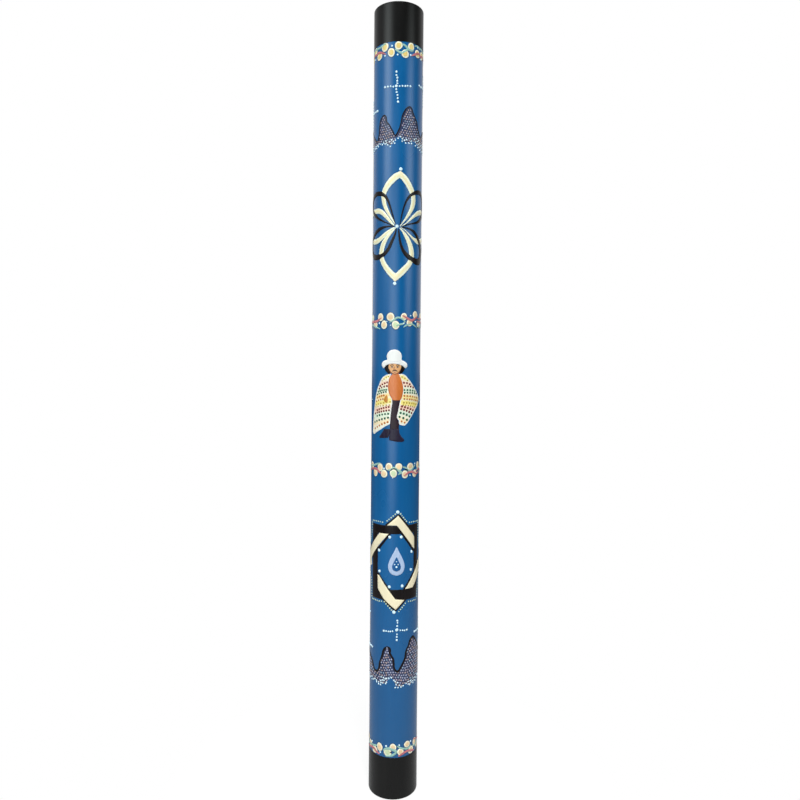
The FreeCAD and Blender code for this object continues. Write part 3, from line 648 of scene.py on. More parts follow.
# one row for each colour above, left wing then right: first (s, z), last (s, z), radius, count
PONCHO_ROWS = [
    (-18.4, 537.6, -9.6, 543.2, 0.75, 4), (-21.4, 531.0, -11.2, 535.6, 1.15, 4),
    (-22.6, 527.4, -11.6, 531.0, 1.15, 4), (-24.4, 523.6, -12.4, 526.2, 1.1, 5),
    (-26.4, 519.8, -12.8, 523.6, 1.1, 5), (-25.4, 515.8, -15.8, 519.0, 1.15, 4),
    (-27.6, 511.0, -17.0, 514.4, 1.05, 4), (-28.6, 506.6, -7.2, 511.0, 0.95, 6),
    (-29.2, 503.6, -8.0, 507.0, 0.85, 6), (-26.2, 499.8, -8.9, 504.6, 1.2, 6),
    (-29.9, 495.4, -8.5, 500.4, 1.2, 7), (-26.2, 492.4, -9.6, 495.9, 1.2, 5),
    (-31.0, 484.2, -9.8, 490.9, 1.25, 6), (-30.0, 476.2, -10.2, 485.4, 1.2, 6),
    (7.8, 542.6, 15.0, 538.4, 0.85, 3), (10.2, 535.4, 18.4, 533.4, 1.15, 3),
    (11.9, 531.0, 24.0, 529.2, 1.15, 4), (11.0, 526.2, 27.4, 524.4, 1.15, 5),
    (11.4, 522.7, 30.6, 521.2, 1.1, 6), (11.0, 518.8, 31.6, 516.0, 1.1, 6),
    (11.0, 514.8, 33.2, 511.6, 1.1, 7), (10.4, 510.0, 29.6, 507.6, 1.0, 6),
    (9.6, 507.0, 26.8, 504.0, 0.85, 6), (7.9, 505.4, 23.9, 500.1, 1.25, 5),
    (6.9, 501.9, 21.6, 496.6, 1.25, 5), (6.3, 497.3, 18.4, 492.6, 1.3, 4),
    (4.9, 492.2, 14.7, 488.2, 1.3, 3), (7.5, 486.3, 11.6, 484.7, 1.2, 2)]
TROUSERS = [
    (-4.6, 514.2), (6.4, 514.2), (5.6, 507.5), (4.1, 498.8), (2.3, 491.9), (3.2, 487.5),
    (4.8, 483.8), (4.1, 480), (4.4, 476.0), (-7.3, 476.0), (-7.1, 482.5), (-7, 492.5),
    (-6.3, 502.5), (-5.5, 510)]
SHIRT = [
    (-5.4, 545.2), (-8.5, 541.3), (-9.8, 535), (-10.2, 528.8), (-9.2, 523.4), (-7.2, 518.4),
    (-4.8, 514.6), (-3.4, 513.2), (5.2, 513.2), (7.5, 516.3), (8.9, 521.3), (9.5, 527.5),
    (8.9, 532.5), (7.2, 538.8), (4.4, 545.0), (2.4, 547.0), (-3.4, 547.0)]
LEFT_BOOT = [
    (-15.0, 476.6), (-6.6, 476.6), (-7.7, 471.3), (-9.1, 465.4), (-16, 464.8), (-21.6, 464.7),
    (-22.4, 466.2), (-19.1, 470.2), (-16.6, 473.8)]
RIGHT_BOOT = [
    (-7.6, 476.8), (4.5, 476.8), (4.8, 471.9), (7.2, 467.5), (10.9, 463.8), (11.4, 461.3),
    (7.8, 460.3), (1.5, 460.6), (-4.8, 461.8), (-8.0, 462.5), (-8.2, 467.5), (-7.6, 471.9)]
HAND = [
    (-12.0, 519.8), (-10.2, 516.3), (-10.2, 511.9), (-13.2, 509.8), (-15.6, 513.1),
    (-14.8, 516.3)]
HAIR = [
    [(-11.0, 559.4), (-13.6, 556.4), (-15.0, 553.6), (-13.8, 550.6), (-11.4, 547.9),
     (-8.2, 546.0), (-5.8, 550.0), (-6.4, 556.0), (-6.0, 560.2)],
    [(8.0, 559.4), (10.0, 556.2), (11.2, 553.6), (10.2, 550.6), (7.8, 547.8), (4.6, 546.2),
     (3.0, 550.0), (3.6, 556.0), (3.6, 560.2)]]
HAT = [
    (-11.6, 564.4), (-12.1, 568.8), (-10.6, 573.0), (-7.3, 576.0), (-2.3, 577.2), (2.5, 576.0),
    (5.9, 573.0), (7.2, 568.8), (7.0, 564.2), (10.3, 562.5), (13.8, 560), (14.6, 557.4),
    (13.9, 555), (11.8, 553.8), (9.0, 556.2), (5.3, 557.8), (1.5, 558.8), (-3.5, 559.3),
    (-8.5, 558.7), (-12.3, 557.2), (-14.8, 555), (-16.3, 553.4), (-18.0, 554.9),
    (-19.1, 557.8), (-18.3, 560.7), (-15.4, 563.1)]
FACE_S = -1.5  # middle of the face
EYE_Z = 555.0


def poncho():
    patch("figure_poncho_left", "poncho_l", PONCHO_LEFT, 0.26)
    patch("figure_poncho_right", "poncho_r", PONCHO_RIGHT, 0.26)
    for j, (s0, z0, s1, z1, radius, count) in enumerate(PONCHO_ROWS):
        row = []
        for i in range(count):
            t = i / (count - 1)
            bow = 0.5 * math.sin(math.pi * t)
            row.append((s0 + (s1 - s0) * t, z0 + (z1 - z0) * t + bow,
                        radius * (1.15 + 0.2 * hash01(i, j))))
        dots("figure_poncho_dots", PONCHO_ROW_COLOURS[j % 14], row, 0.42)
    # pale borders: outer edge, lower edge and inner edge of each wing
    for wing, corner_1, corner_2 in ((PONCHO_LEFT, 13, 18), (PONCHO_RIGHT, 8, 14)):
        for edge in (wing[:corner_1 + 1], wing[corner_1:corner_2 + 1],
                     wing[corner_2:] + wing[:1]):
            ribbon("figure_border", "hat", edge, 0.33, width=1.3)


def face():
    """Jaw shade, brows, eyes, nose, moustache and lips."""
    def stroke(colour, points, height):
        ribbon("figure_face", colour, points, height)

    stroke("skin_shade", [(-8.8, 552.4, 0.6), (-6.8, 548.9, 1.3), (-4.0, 546.9, 1.6),
                          (FACE_S, 546.4, 1.7), (1.0, 546.9, 1.6), (3.8, 548.9, 1.3),
                          (5.8, 552.4, 0.6)], 0.42)
    for side in (-1, 1):
        x = FACE_S + side * 3.5
        stroke("ink", [(x - side * 2.0, 557.3, 0.9), (x, 558.0, 1.35),
                       (x + side * 2.3, 556.9, 0.6)], 0.46)
        dots("figure_face", "skin_shade", [(x, EYE_Z, 2.1, 1.35)], 0.43)
        dots("figure_face", "eye_white", [(x, EYE_Z, 1.6, 0.85)], 0.47)
        dots("figure_face", "ink", [(x, EYE_Z + 0.05, 0.95, 0.86)], 0.52)
        stroke("ink", [(x - 1.9, 555.2, 0.4), (x, 556.0, 0.8), (x + 1.9, 555.2, 0.4)], 0.50)
    stroke("skin_shade", [(-2.3, 556.2, 0.5), (-2.3, 553.8, 1.0), (-2.8, 552.4, 1.3),
                          (FACE_S, 551.7, 1.2), (-0.2, 552.3, 0.9)], 0.46)
    stroke("ink", [(-5.0, 549.6, 0.5), (-3.4, 550.5, 1.5), (FACE_S, 550.5, 1.2),
                   (0.4, 550.5, 1.5), (2.0, 549.6, 0.5)], 0.48)
    stroke("lips", [(-3.2, 548.7, 0.5), (FACE_S, 548.4, 1.2), (0.2, 548.7, 0.5)], 0.47)


@both_sides
def figure():
    poncho()
    patch("figure_trousers", "trousers", TROUSERS, 0.30)
    patch("figure_shirt", "orange", SHIRT, 0.36, smooth=True)
    patch("figure_boots", "boots", LEFT_BOOT, 0.32)
    patch("figure_boots", "boots", RIGHT_BOOT, 0.34)
    patch("figure_hand", "hand", HAND, 0.40, smooth=True)
    for lock in HAIR:
        patch("figure_hair", "black", lock, 0.30, smooth=True)
    # the head is an oval, narrowed towards the chin
    turns = [2 * math.pi * i / 40 for i in range(40)]
    head = [(FACE_S + 8.2 * math.sin(t) * (1 - 0.14 * max(math.cos(t), 0)),
             554.6 - 8.6 * math.cos(t)) for t in turns]
    patch("figure_head", "skin", head, 0.38)
    face()
    patch("figure_hat", "hat", HAT, 0.50, smooth=True)
    ribbon("figure_hat", "hat_shade", [(-11.4, 564.0, 0.3), (-6.5, 562.4, 0.6),
                                       (-2.2, 562.0, 0.7), (2.4, 562.4, 0.6),
                                       (6.8, 563.8, 0.3)], 0.54)
    ribbon("figure_hat", "hat_shade", [(-13.6, 556.9, 0.4), (-8.5, 559.3, 0.7),
                                       (-2.0, 559.9, 0.8), (4.6, 558.8, 0.7),
                                       (9.4, 556.9, 0.4)], 0.54)
    # short pale stroke between the two figures
    ribbon("figure_stroke", "white", [(-56.0, 510.9, 0.3), (-50.0, 511.8, 1.2),
                                      (-44.0, 512.6, 1.3), (-38.2, 512.7, 0.3)], 0.4)


figure()


# ------------------------------------------------------------------ shader helpers
def lin(rgb):
    """0..255 display colour to linear."""
    return [c / 12.92 if c <= 0.04045 else ((c + 0.055) / 1.055) ** 2.4
            for c in (v / 255.0 for v in rgb)]


def scaled(colour, factor):
    return [c * factor for c in colour]


class Tree:
    """Short calls for building one node tree."""

    def __init__(self, tree):
        self.tree = tree

    def feed(self, node, inputs):
        """Link or set inputs, given as {socket name or index: socket or value}."""
        for key, value in inputs.items():
            socket = node.inputs[key]
            if isinstance(value, bpy.types.NodeSocket):
                self.tree.links.new(value, socket)
            elif socket.type == "RGBA":
                socket.default_value = (*value, 1.0)
            else:
                socket.default_value = value

    def add(self, kind, inputs=None, **settings):
        node = self.tree.nodes.new(kind)
        for name, value in settings.items():
            setattr(node, name, value)
        self.feed(node, inputs or {})
        return node

    def object_coords(self):
        return self.add("ShaderNodeTexCoord").outputs["Object"]

    def coords(self, scale=(1, 1, 1)):
        inputs = {"Vector": self.object_coords(), "Scale": scale}
        return self.add("ShaderNodeMapping", inputs).outputs[0]

    def separate(self, vector):
        return self.add("ShaderNodeSeparateXYZ", {0: vector}).outputs

    def noise(self, vector, scale, w, detail=3.0, roughness=0.6):
        inputs = {"Vector": vector, "Scale": scale, "Detail": detail, "Roughness": roughness,
                  "W": w}
        return self.add("ShaderNodeTexNoise", inputs, noise_dimensions="4D").outputs["Fac"]

    def math(self, operation, *values):
        node = self.add("ShaderNodeMath", dict(enumerate(values)), operation=operation)
        return node.outputs[0]

    def remap(self, value, to, over=(0.3, 0.7), smooth=False):
        """Map the range over onto the range to."""
        inputs = {"Value": value, "From Min": over[0], "From Max": over[1], "To Min": to[0],
                  "To Max": to[1]}
        kind = "SMOOTHSTEP" if smooth else "LINEAR"
        return self.add("ShaderNodeMapRange", inputs, interpolation_type=kind).outputs[0]

    def mix(self, factor, a, b):
        return self.add("ShaderNodeMix", {0: factor, 6: a, 7: b}, data_type="RGBA").outputs[2]

    def ramp(self, factor, stops):
        node = self.add("ShaderNodeValToRGB", {0: factor})
        elements = node.color_ramp.elements
        while len(elements) < len(stops):
            elements.new(0.5)
        for element, (position, colour) in zip(elements, stops):
            element.position = position
            element.color = (*colour, 1.0)
        return node.outputs[0]

    def mix_for_camera(self, other_rays, camera_rays):
        """Shader that differs between camera rays and all others."""
        is_camera = self.add("ShaderNodeLightPath").outputs["Is Camera Ray"]
        return self.add("ShaderNodeMixShader",
                        {0: is_camera, 1: other_rays, 2: camera_rays}).outputs[0]


class Material(Tree):
    """New material with one Principled shader."""

    def __init__(self, name):
        self.material = bpy.data.materials.new(name)
        self.material.use_nodes = True
        super().__init__(self.material.node_tree)
        self.tree.nodes.clear()
        self.output = self.add("ShaderNodeOutputMaterial")
        self.bsdf = self.add("ShaderNodeBsdfPrincipled")
        self.feed(self.output, {0: self.bsdf.outputs[0]})

    def surface(self, colour, roughness, **more):
        self.feed(self.bsdf, {"Base Color": colour, "Roughness": roughness, **more})

    def bump(self, *layers, distance=0.0001):
        """Chain of bumps; each layer is (height socket, strength)."""
        normal = None
        for height, strength in layers:
            inputs = {"Height": height, "Strength": strength, "Distance": distance}
            if normal is not None:
                inputs["Normal"] = normal
            normal = self.add("ShaderNodeBump", inputs).outputs[0]
        self.feed(self.bsdf, {"Normal": normal})


# ------------------------------------------------------------------ paints
GLOSS = 0.25  # roughness of the one coat of satin varnish over the whole stick
VARNISH_IOR = 1.46


def paint(name, rgb, second, spread, seed, ior):
    """Brushed enamel: the colour drifts along the strokes, thin places let a second tone through,
    and the surface keeps faint brush marks."""
    m = Material(name)
    base = lin(rgb)
    dark = scaled(base, 1 - spread)
    light = [min(1, c * (1 + spread) + 0.01 * spread) for c in base]
    brushed = m.coords((1, 1, 0.25))
    drift = m.noise(brushed, scale=60.0, w=seed)
    fine = m.noise(brushed, scale=420.0, detail=4.0, w=seed + 3)
    colour = m.ramp(drift, [(0.30, dark), (0.52, base), (0.72, light)])
    if second is not None:
        thin = m.remap(fine, to=(0.0, 0.55), over=(0.48, 0.80))
        colour = m.mix(thin, colour, lin(second))
    speck = m.noise(m.coords(), scale=1900.0, detail=2.0, roughness=0.5, w=seed + 9)
    specks = m.remap(speck, to=(0.0, 0.18), over=(0.55, 0.85))
    colour = m.mix(specks, colour, scaled(base, 0.72))
    m.surface(colour, m.remap(drift, to=(GLOSS - 0.04, GLOSS + 0.07)), IOR=ior)
    m.bump((fine, 0.35), (speck, 0.10), distance=0.00012)
    return m.material


def striped(name, rgb, stripes, slope, seed):
    """Cloth colour with soft tinted stripes that follow the rows of dots.

    stripes: (height mm, half width mm, colour), lowest first; slope: rise per mm of arc.
    """
    m = Material(name)
    place = m.separate(m.object_coords())
    # signed angle from the middle of the front, or of the back
    facing = m.math("MULTIPLY", place["X"], m.math("SIGN", place["Y"]))
    angle = m.math("ARCTAN2", m.math("MULTIPLY", facing, -1.0),
                   m.math("ABSOLUTE", place["Y"]))
    rise = m.math("MULTIPLY", angle, -slope * R_TUBE)
    height = m.math("ADD", m.math("MULTIPLY", place["Z"], 1000.0), rise)
    wobble = m.noise(m.coords(), scale=160.0, detail=2.0, roughness=0.5, w=seed)
    height = m.math("ADD", height, m.remap(wobble, to=(-1.0, 1.0)))
    low, high = 466.0, 548.0  # heights the ramp spans, mm
    base = lin(rgb)
    stops = []
    for middle, half_width, tint in stripes:
        tint = lin(tint)
        for offset, colour in ((-1, base), (-0.45, tint), (0.45, tint), (1, base)):
            position = (middle + half_width * offset - low) / (high - low)
            stops.append((max(0, min(1, position)), colour))
    colour = m.ramp(m.remap(height, to=(0.0, 1.0), over=(low, high)), stops)
    fine = m.noise(m.coords((1, 1, 0.5)), scale=380.0, w=seed + 2)
    grain = m.remap(fine, to=(0.0, 0.22), over=(0.5, 0.8))
    colour = m.mix(grain, colour, scaled(base, 0.82))
    m.surface(colour, m.remap(fine, to=(GLOSS - 0.03, GLOSS + 0.08)), IOR=VARNISH_IOR)
    m.bump((fine, 0.35), distance=0.00012)
    return m.material


def blue_paint():
    """Ground colour of the pipe: streaked, clouded and scuffed."""
    m = Material("stick_blue")
    dark, mid, light = lin((3, 81, 136)), lin((6, 89, 146)), lin((12, 95, 153))
    # the last of these is a greyer, darker blue for the lower part: painted floor reflection and
    # painted shade
    thin, scuffed, painted_bottom_veil = lin((30, 108, 160)), (0.07, 0.18, 0.36), lin((26, 82, 130))
    streak = m.noise(m.coords((1, 1, 0.08)), scale=70.0, detail=4.0, w=1.7)
    cloud = m.noise(m.coords((1, 1, 0.5)), scale=16.0, roughness=0.55, w=4.1)
    peel = m.noise(m.coords(), scale=900.0, detail=2.0, roughness=0.5, w=7.3)
    fine = m.noise(m.coords((1, 1, 0.3)), scale=300.0, detail=4.0, w=2.2)
    colour = m.mix(0.5, m.ramp(streak, [(0.30, dark), (0.52, mid), (0.74, light)]),
                   m.ramp(cloud, [(0.30, dark), (0.55, mid), (0.75, light)]))
    colour = m.mix(m.remap(fine, to=(0.0, 0.20), over=(0.55, 0.85)), colour, thin)
    # fine scuffs from handling along the stick, in patches
    scratch = m.noise(m.coords((1, 1, 0.035)), scale=620.0, detail=2.0, roughness=0.5, w=6.6)
    where = m.noise(m.coords((1, 1, 0.4)), scale=26.0, detail=2.0, roughness=0.5, w=5.5)
    scuffs = m.math("MULTIPLY", m.remap(scratch, to=(0.0, 1.0), over=(0.64, 0.74)),
                    m.remap(where, to=(0.0, 0.30), over=(0.52, 0.66)))
    colour = m.mix(scuffs, colour, scuffed)
    # towards the bottom the blue is mixed into a greyer, darker tone: painted reflection of the
    # floor and painted shade
    height = m.separate(m.coords())["Z"]
    colour = m.mix(m.remap(height, to=(0.70, 0.0), over=(0.08, 0.34)), colour, painted_bottom_veil)
    m.surface(colour, m.remap(cloud, to=(GLOSS - 0.03, GLOSS + 0.05)), IOR=VARNISH_IOR)
    m.bump((fine, 0.22), (peel, 0.12))
    return m.material


def black_enamel():
    m = Material("end_black_enamel")
    streak = m.noise(m.coords((1, 1, 0.15)), scale=60.0, detail=4.0, w=2.5)
    fine = m.noise(m.coords(), scale=700.0, w=4.5)
    colour = m.ramp(streak, [(0.3, (0.0028, 0.0028, 0.0028)), (0.55, (0.0042, 0.0042, 0.0041)),
                             (0.8, (0.0078, 0.0073, 0.0066))])
    # the black is worn thin in places along the edges
    edge = m.add("ShaderNodeNewGeometry").outputs["Pointiness"]
    where = m.noise(m.coords(), scale=140.0, detail=4.0, roughness=0.65, w=7.5)
    worn = m.math("MULTIPLY", m.remap(edge, to=(0.0, 1.0), over=(0.53, 0.60)),
                  m.remap(where, to=(0.0, 0.55), over=(0.50, 0.66)))
    colour = m.mix(worn, colour, (0.10, 0.09, 0.08))
    m.surface(colour, m.remap(streak, to=(GLOSS - 0.01, GLOSS + 0.07)), IOR=1.34)
    m.bump((fine, 0.15), (streak, 0.2))
    return m.material


PAINTS = {  # colour: (display colour, second tone, spread of brightness, noise seed, IOR)
    "navy": ((24, 58, 98), None, 0.25, 1.0, VARNISH_IOR),
    "bead_rim": ((236, 232, 208), (222, 220, 190), 0.12, 2.0, VARNISH_IOR),
    "bead_core": ((230, 200, 158), (220, 186, 146), 0.16, 3.0, VARNISH_IOR),
    "bead_green": ((200, 214, 172), (165, 202, 170), 0.16, 4.0, VARNISH_IOR),
    "teal": ((146, 186, 174), (136, 170, 164), 0.18, 5.0, VARNISH_IOR),
    "crimson": ((188, 110, 116), (164, 92, 116), 0.2, 6.0, VARNISH_IOR),
    "white": ((214, 240, 250), (200, 228, 244), 0.05, 7.0, VARNISH_IOR),
    "bead_pale": ((206, 226, 194), (204, 220, 158), 0.10, 7.5, VARNISH_IOR),
    "black": ((21, 16, 17), (28, 20, 20), 0.3, 8.0, 1.28),
    "under": ((50, 60, 90), (64, 63, 86), 0.25, 8.5, 1.34),
    "dot_tan": ((174, 154, 152), (156, 136, 128), 0.15, 9.0, 1.34),
    "dot_rose": ((164, 152, 166), (146, 130, 142), 0.15, 10.0, 1.34),
    "dot_lilac": ((160, 164, 190), (132, 138, 168), 0.15, 11.0, 1.34),
    "dot_sky": ((144, 164, 186), (118, 146, 172), 0.15, 11.5, 1.34),
    "cream_edge": ((230, 236, 216), (222, 230, 206), 0.06, 12.8, VARNISH_IOR),
    "cream_warm": ((237, 226, 182), (228, 214, 164), 0.06, 12.4, VARNISH_IOR),
    "bead_gold": ((226, 198, 122), (216, 184, 104), 0.16, 3.3, VARNISH_IOR),
    "cream": ((238, 226, 194), (236, 222, 180), 0.06, 12.0, VARNISH_IOR),
    "pale": ((172, 190, 220), (156, 176, 210), 0.06, 13.0, VARNISH_IOR),
    "blue_heart": ((16, 84, 142), (28, 96, 152), 0.12, 14.0, VARNISH_IOR),
    "d_olive": ((176, 146, 44), (152, 126, 36), 0.12, 15.0, VARNISH_IOR),
    "d_red": ((110, 2, 10), (130, 12, 20), 0.12, 16.0, VARNISH_IOR),
    "d_green": ((38, 92, 66), (32, 82, 58), 0.12, 17.0, VARNISH_IOR),
    "d_orange": ((186, 108, 40), (170, 92, 30), 0.12, 18.0, VARNISH_IOR),
    "trousers": ((43, 30, 39), (52, 38, 46), 0.25, 19.0, 1.28),
    "orange": ((204, 112, 50), (220, 140, 84), 0.16, 20.0, VARNISH_IOR),
    "boots": ((37, 32, 50), (46, 38, 56), 0.25, 21.0, 1.28),
    "hand": ((196, 132, 56), (176, 110, 44), 0.12, 22.0, VARNISH_IOR),
    "skin": ((220, 164, 110), (206, 146, 94), 0.1, 23.0, VARNISH_IOR),
    "skin_shade": ((150, 86, 46), None, 0.12, 24.0, VARNISH_IOR),
    "lips": ((168, 84, 68), None, 0.12, 25.0, VARNISH_IOR),
    "ink": ((14, 8, 8), None, 0.12, 26.0, 1.34),
    "eye_white": ((236, 232, 222), None, 0.03, 27.0, VARNISH_IOR),
    "hat": ((230, 230, 228), (218, 217, 216), 0.04, 28.0, VARNISH_IOR),
    "hat_shade": ((200, 199, 204), None, 0.05, 29.0, VARNISH_IOR),
}
PAINT_NAMES = {"d_olive": "olive", "d_red": "red", "d_green": "green", "d_orange": "orange_dot"}
paints = {colour: paint("paint_" + PAINT_NAMES.get(colour, colour), *values)
          for colour, values in PAINTS.items()}
paints["poncho_l"] = striped(
    "paint_poncho_l", (238, 232, 210), slope=0.22, seed=31.0, stripes=[
        (489.0, 3.0, (242, 222, 184)), (498.0, 4.4, (220, 232, 212)),
        (506.0, 3.4, (240, 202, 180)), (514.0, 4.4, (240, 222, 132)),
        (521.5, 3.8, (240, 214, 150)), (529.6, 3.6, (216, 228, 204)),
        (538.2, 3.6, (240, 208, 184)), (546.5, 4.5, (240, 224, 146))])
paints["poncho_r"] = striped(
    "paint_poncho_r", (236, 232, 210), slope=-0.17, seed=32.0, stripes=[
        (489.4, 3.0, (242, 222, 184)), (498.6, 4.0, (218, 232, 212)),
        (506.0, 3.0, (240, 202, 182)), (511.8, 4.6, (240, 222, 128)),
        (519.4, 4.4, (240, 218, 148)), (528.0, 3.4, (216, 228, 204)),
        (536.6, 3.6, (240, 208, 184)), (544.0, 4.0, (240, 224, 146))])
MAT_BLUE = blue_paint()
MAT_END = black_enamel()


# ------------------------------------------------------------------ meshes
def add_object(name, mesh, material):
    """Smooth-shaded object from a mesh, with its normals turned outwards."""
    bm = bmesh.new()
    bm.from_mesh(mesh)
    bmesh.ops.recalc_face_normals(bm, faces=bm.faces)
    bm.to_mesh(mesh)
    bm.free()
    for polygon in mesh.polygons:
        polygon.use_smooth = True
    mesh.materials.append(material)
    ob = bpy.data.objects.new(name, mesh)
    scene.collection.objects.link(ob)
    return ob


def on_pipe(s, z, height):
    """Artwork point to metres."""
    angle = -math.pi / 2 + s / R_TUBE
    radius = (SKIN_R + height) / 1000.0
    return (radius * math.cos(angle), radius * math.sin(angle), z / 1000.0)


def divided(outline):
    """Closed outline with its sides cut to 1.3 mm or less."""
    cut = []
    for a, b in zip(outline, outline[1:] + outline[:1]):
        k = max(1, math.ceil(distance(a, b) / 1.3))
        cut += [(a[0] + (b[0] - a[0]) * i / k, a[1] + (b[1] - a[1]) * i / k) for i in range(k)]
    return cut


def inset(outline, depth):
    """Anticlockwise outline moved inwards by depth, with mitred corners."""
    moved = []
    for i, here in enumerate(outline):
        before, after = outline[i - 1], outline[(i + 1) % len(outline)]
        normals = []
        for a, b in ((before, here), (here, after)):
            length = distance(a, b) or 1
            normals.append((-(b[1] - a[1]) / length, (b[0] - a[0]) / length))
        mitre_s = normals[0][0] + normals[1][0]
        mitre_z = normals[0][1] + normals[1][1]
        square = mitre_s * mitre_s + mitre_z * mitre_z
        if square < 0.3:
            # almost a hairpin: a full mitre would shoot out
            normal = normals[0]
            moved.append((here[0] + normal[0] * depth * 0.5, here[1] + normal[1] * depth * 0.5))
        else:
            moved.append((here[0] + mitre_s * 2 * depth / square,
                          here[1] + mitre_z * 2 * depth / square))
    return moved


def grid_inside(outline, box):
    """Staggered points inside an outline, clear of its corners; box is the outline's span."""
    step = 2.2
    corners = np.array(outline)
    sides = list(zip(outline, outline[1:] + outline[:1]))
    (s0, s1), (z0, z1) = box
    points = []
    row, z = 0, z0 + step / 2
    while z < z1:
        s = s0 + step / 2 + (step / 2 if row % 2 else 0)
        while s < s1:
            hit = False
            for (sa, za), (sb, zb) in sides:
                if (za > z) != (zb > z) and s < (sb - sa) * (z - za) / (zb - za) + sa:
                    hit = not hit
            if hit and np.hypot(corners[:, 0] - s, corners[:, 1] - z).min() > 0.7:
                points.append((s, z))
            s += step
        z += step * 0.87
        row += 1
    return points


class Relief:
    """Raised paint on the pipe: gathers closed dots, ribbons and patches into one mesh."""

    def __init__(self):
        self.verts, self.faces = [], []

    def add(self, verts, faces):
        n = len(self.verts)
        self.verts += verts
        self.faces += [tuple(i + n for i in face) for face in faces]

    def dot(self, s, z, radius_s, radius_z, height):
        """Brush dot: a steep rim, a soft shoulder and a rounded crown."""
        largest = max(radius_s, radius_z)
        # rings of (share of the radius, share of the height); the first is sunk in the skin
        if largest > 2.4:
            n = 28
            crown = [(1.0, 0.45), (0.93, 0.82), (0.70, 0.97), (0.35, 1.0)]
        else:
            n = 16 if largest > 1.25 else 12
            crown = [(1.0, 0.42), (0.86, 0.80), (0.45, 0.98)]
        rings = [(1.0, -0.04)] + [(q, share * height) for q, share in crown]
        verts, faces = [], []
        phase = hash01(int(s * 7), int(z * 7)) * 6.28
        for q, ring_height in rings:
            for i in range(n):
                t = 2 * math.pi * i / n
                wobble = 1 + 0.035 * math.sin(2 * t + phase) + 0.02 * math.sin(3 * t + 2 * phase)
                verts.append(on_pipe(s + radius_s * q * wobble * math.cos(t),
                                     z + radius_z * q * wobble * math.sin(t), ring_height))
        last = len(rings) - 1
        for k in range(last):
            for i in range(n):
                j = (i + 1) % n
                faces.append((k * n + i, k * n + j, (k + 1) * n + j, (k + 1) * n + i))
        top = len(verts)
        verts += [on_pipe(s, z, height), on_pipe(s, z, -0.05)]
        for i in range(n):
            j = (i + 1) % n
            faces.append((last * n + i, last * n + j, top))
            faces.append((j, i, top + 1))
        self.add(verts, faces)

    def ribbon(self, points, height):
        # (across, up): across in half widths, up in heights, or in mm below the skin
        section = [(-1.0, -0.04), (-1.0, 0.45), (-0.86, 0.85), (-0.45, 1.0), (0.0, 1.03),
                   (0.45, 1.0), (0.86, 0.85), (1.0, 0.45), (1.0, -0.04), (0.0, -0.05)]
        m = len(section)
        path = [points[0]]
        for a, b in zip(points, points[1:]):
            k = max(1, math.ceil(distance(a, b) / 0.8))
            path += [tuple(p + (q - p) * (i + 1) / k for p, q in zip(a, b)) for i in range(k)]
        n = len(path)
        verts, faces = [], []
        for i, (s, z, width) in enumerate(path):
            a, b = path[max(i - 1, 0)], path[min(i + 1, n - 1)]
            length = distance(a, b) or 1.0
            normal_s, normal_z = -(b[1] - a[1]) / length, (b[0] - a[0]) / length
            width = max(width, 0.12)
            wobble = 1 + 0.03 * math.sin(i * 0.9 + s) + 0.02 * math.sin(i * 0.37 + z)
            for across, up in section:
                verts.append(on_pipe(s + normal_s * across * width * wobble / 2,
                                     z + normal_z * across * width * wobble / 2,
                                     up * height if up > 0 else up))
        for i in range(n - 1):
            for k in range(m):
                j = (k + 1) % m
                faces.append((i * m + k, i * m + j, (i + 1) * m + j, (i + 1) * m + k))
        faces.append(tuple(range(m - 1, -1, -1)))
        faces.append(tuple((n - 1) * m + k for k in range(m)))
        self.add(verts, faces)

    def patch(self, points, height):
        area = sum(a[0] * b[1] - b[0] * a[1] for a, b in zip(points, points[1:] + points[:1]))
        if area < 0:
            points = points[::-1]
        edge = divided(points)
        n = len(edge)
        inner = inset(edge, 0.16)
        pad = grid_inside(inner, [(min(axis), max(axis)) for axis in zip(*edge)])

        def triangulate(flat):
            return geometry.delaunay_2d_cdt(
                [Vector(p) for p in flat], [], [list(range(n))], 1, 1e-5)

        flat = inner + pad
        result = triangulate(flat)
        if len(result[0]) != len(flat):
            # the inset crossed itself somewhere: fall back to the outline
            pad = []
            flat = edge
            result = triangulate(flat)
        triangles, origins = result[2], result[3]
        back = {i: k for i, origin in enumerate(origins) for k in origin}
        verts = [on_pipe(*p, height) for p in flat]
        faces = []
        for triangle in triangles:
            face = [back[i] for i in triangle]
            a, b, c = (flat[i] for i in face[:3])
            if (b[0] - a[0]) * (c[1] - a[1]) - (c[0] - a[0]) * (b[1] - a[1]) < 0:
                face = face[::-1]
            faces.append(tuple(face))
        top_faces = list(faces)
        shoulder = len(flat)
        foot = shoulder + n
        verts += [on_pipe(*p, 0.5 * height) for p in edge]
        verts += [on_pipe(*p, -0.04) for p in edge]
        for i in range(n):
            j = (i + 1) % n
            faces.append((shoulder + i, shoulder + j, j, i))
            faces.append((foot + i, foot + j, shoulder + j, shoulder + i))
        # underside: the same triangles on the foot outline, with the grid points below
        under = len(verts)
        verts += [on_pipe(*p, -0.05) for p in pad]
        for face in top_faces:
            faces.append(tuple(foot + i if i < n else under + i - n for i in reversed(face)))
        self.add(verts, faces)

    def make(self, name, material):
        mesh = bpy.data.meshes.new(name)
        mesh.from_pydata(self.verts, [], self.faces)
        mesh.validate()
        return add_object(name, mesh, material)


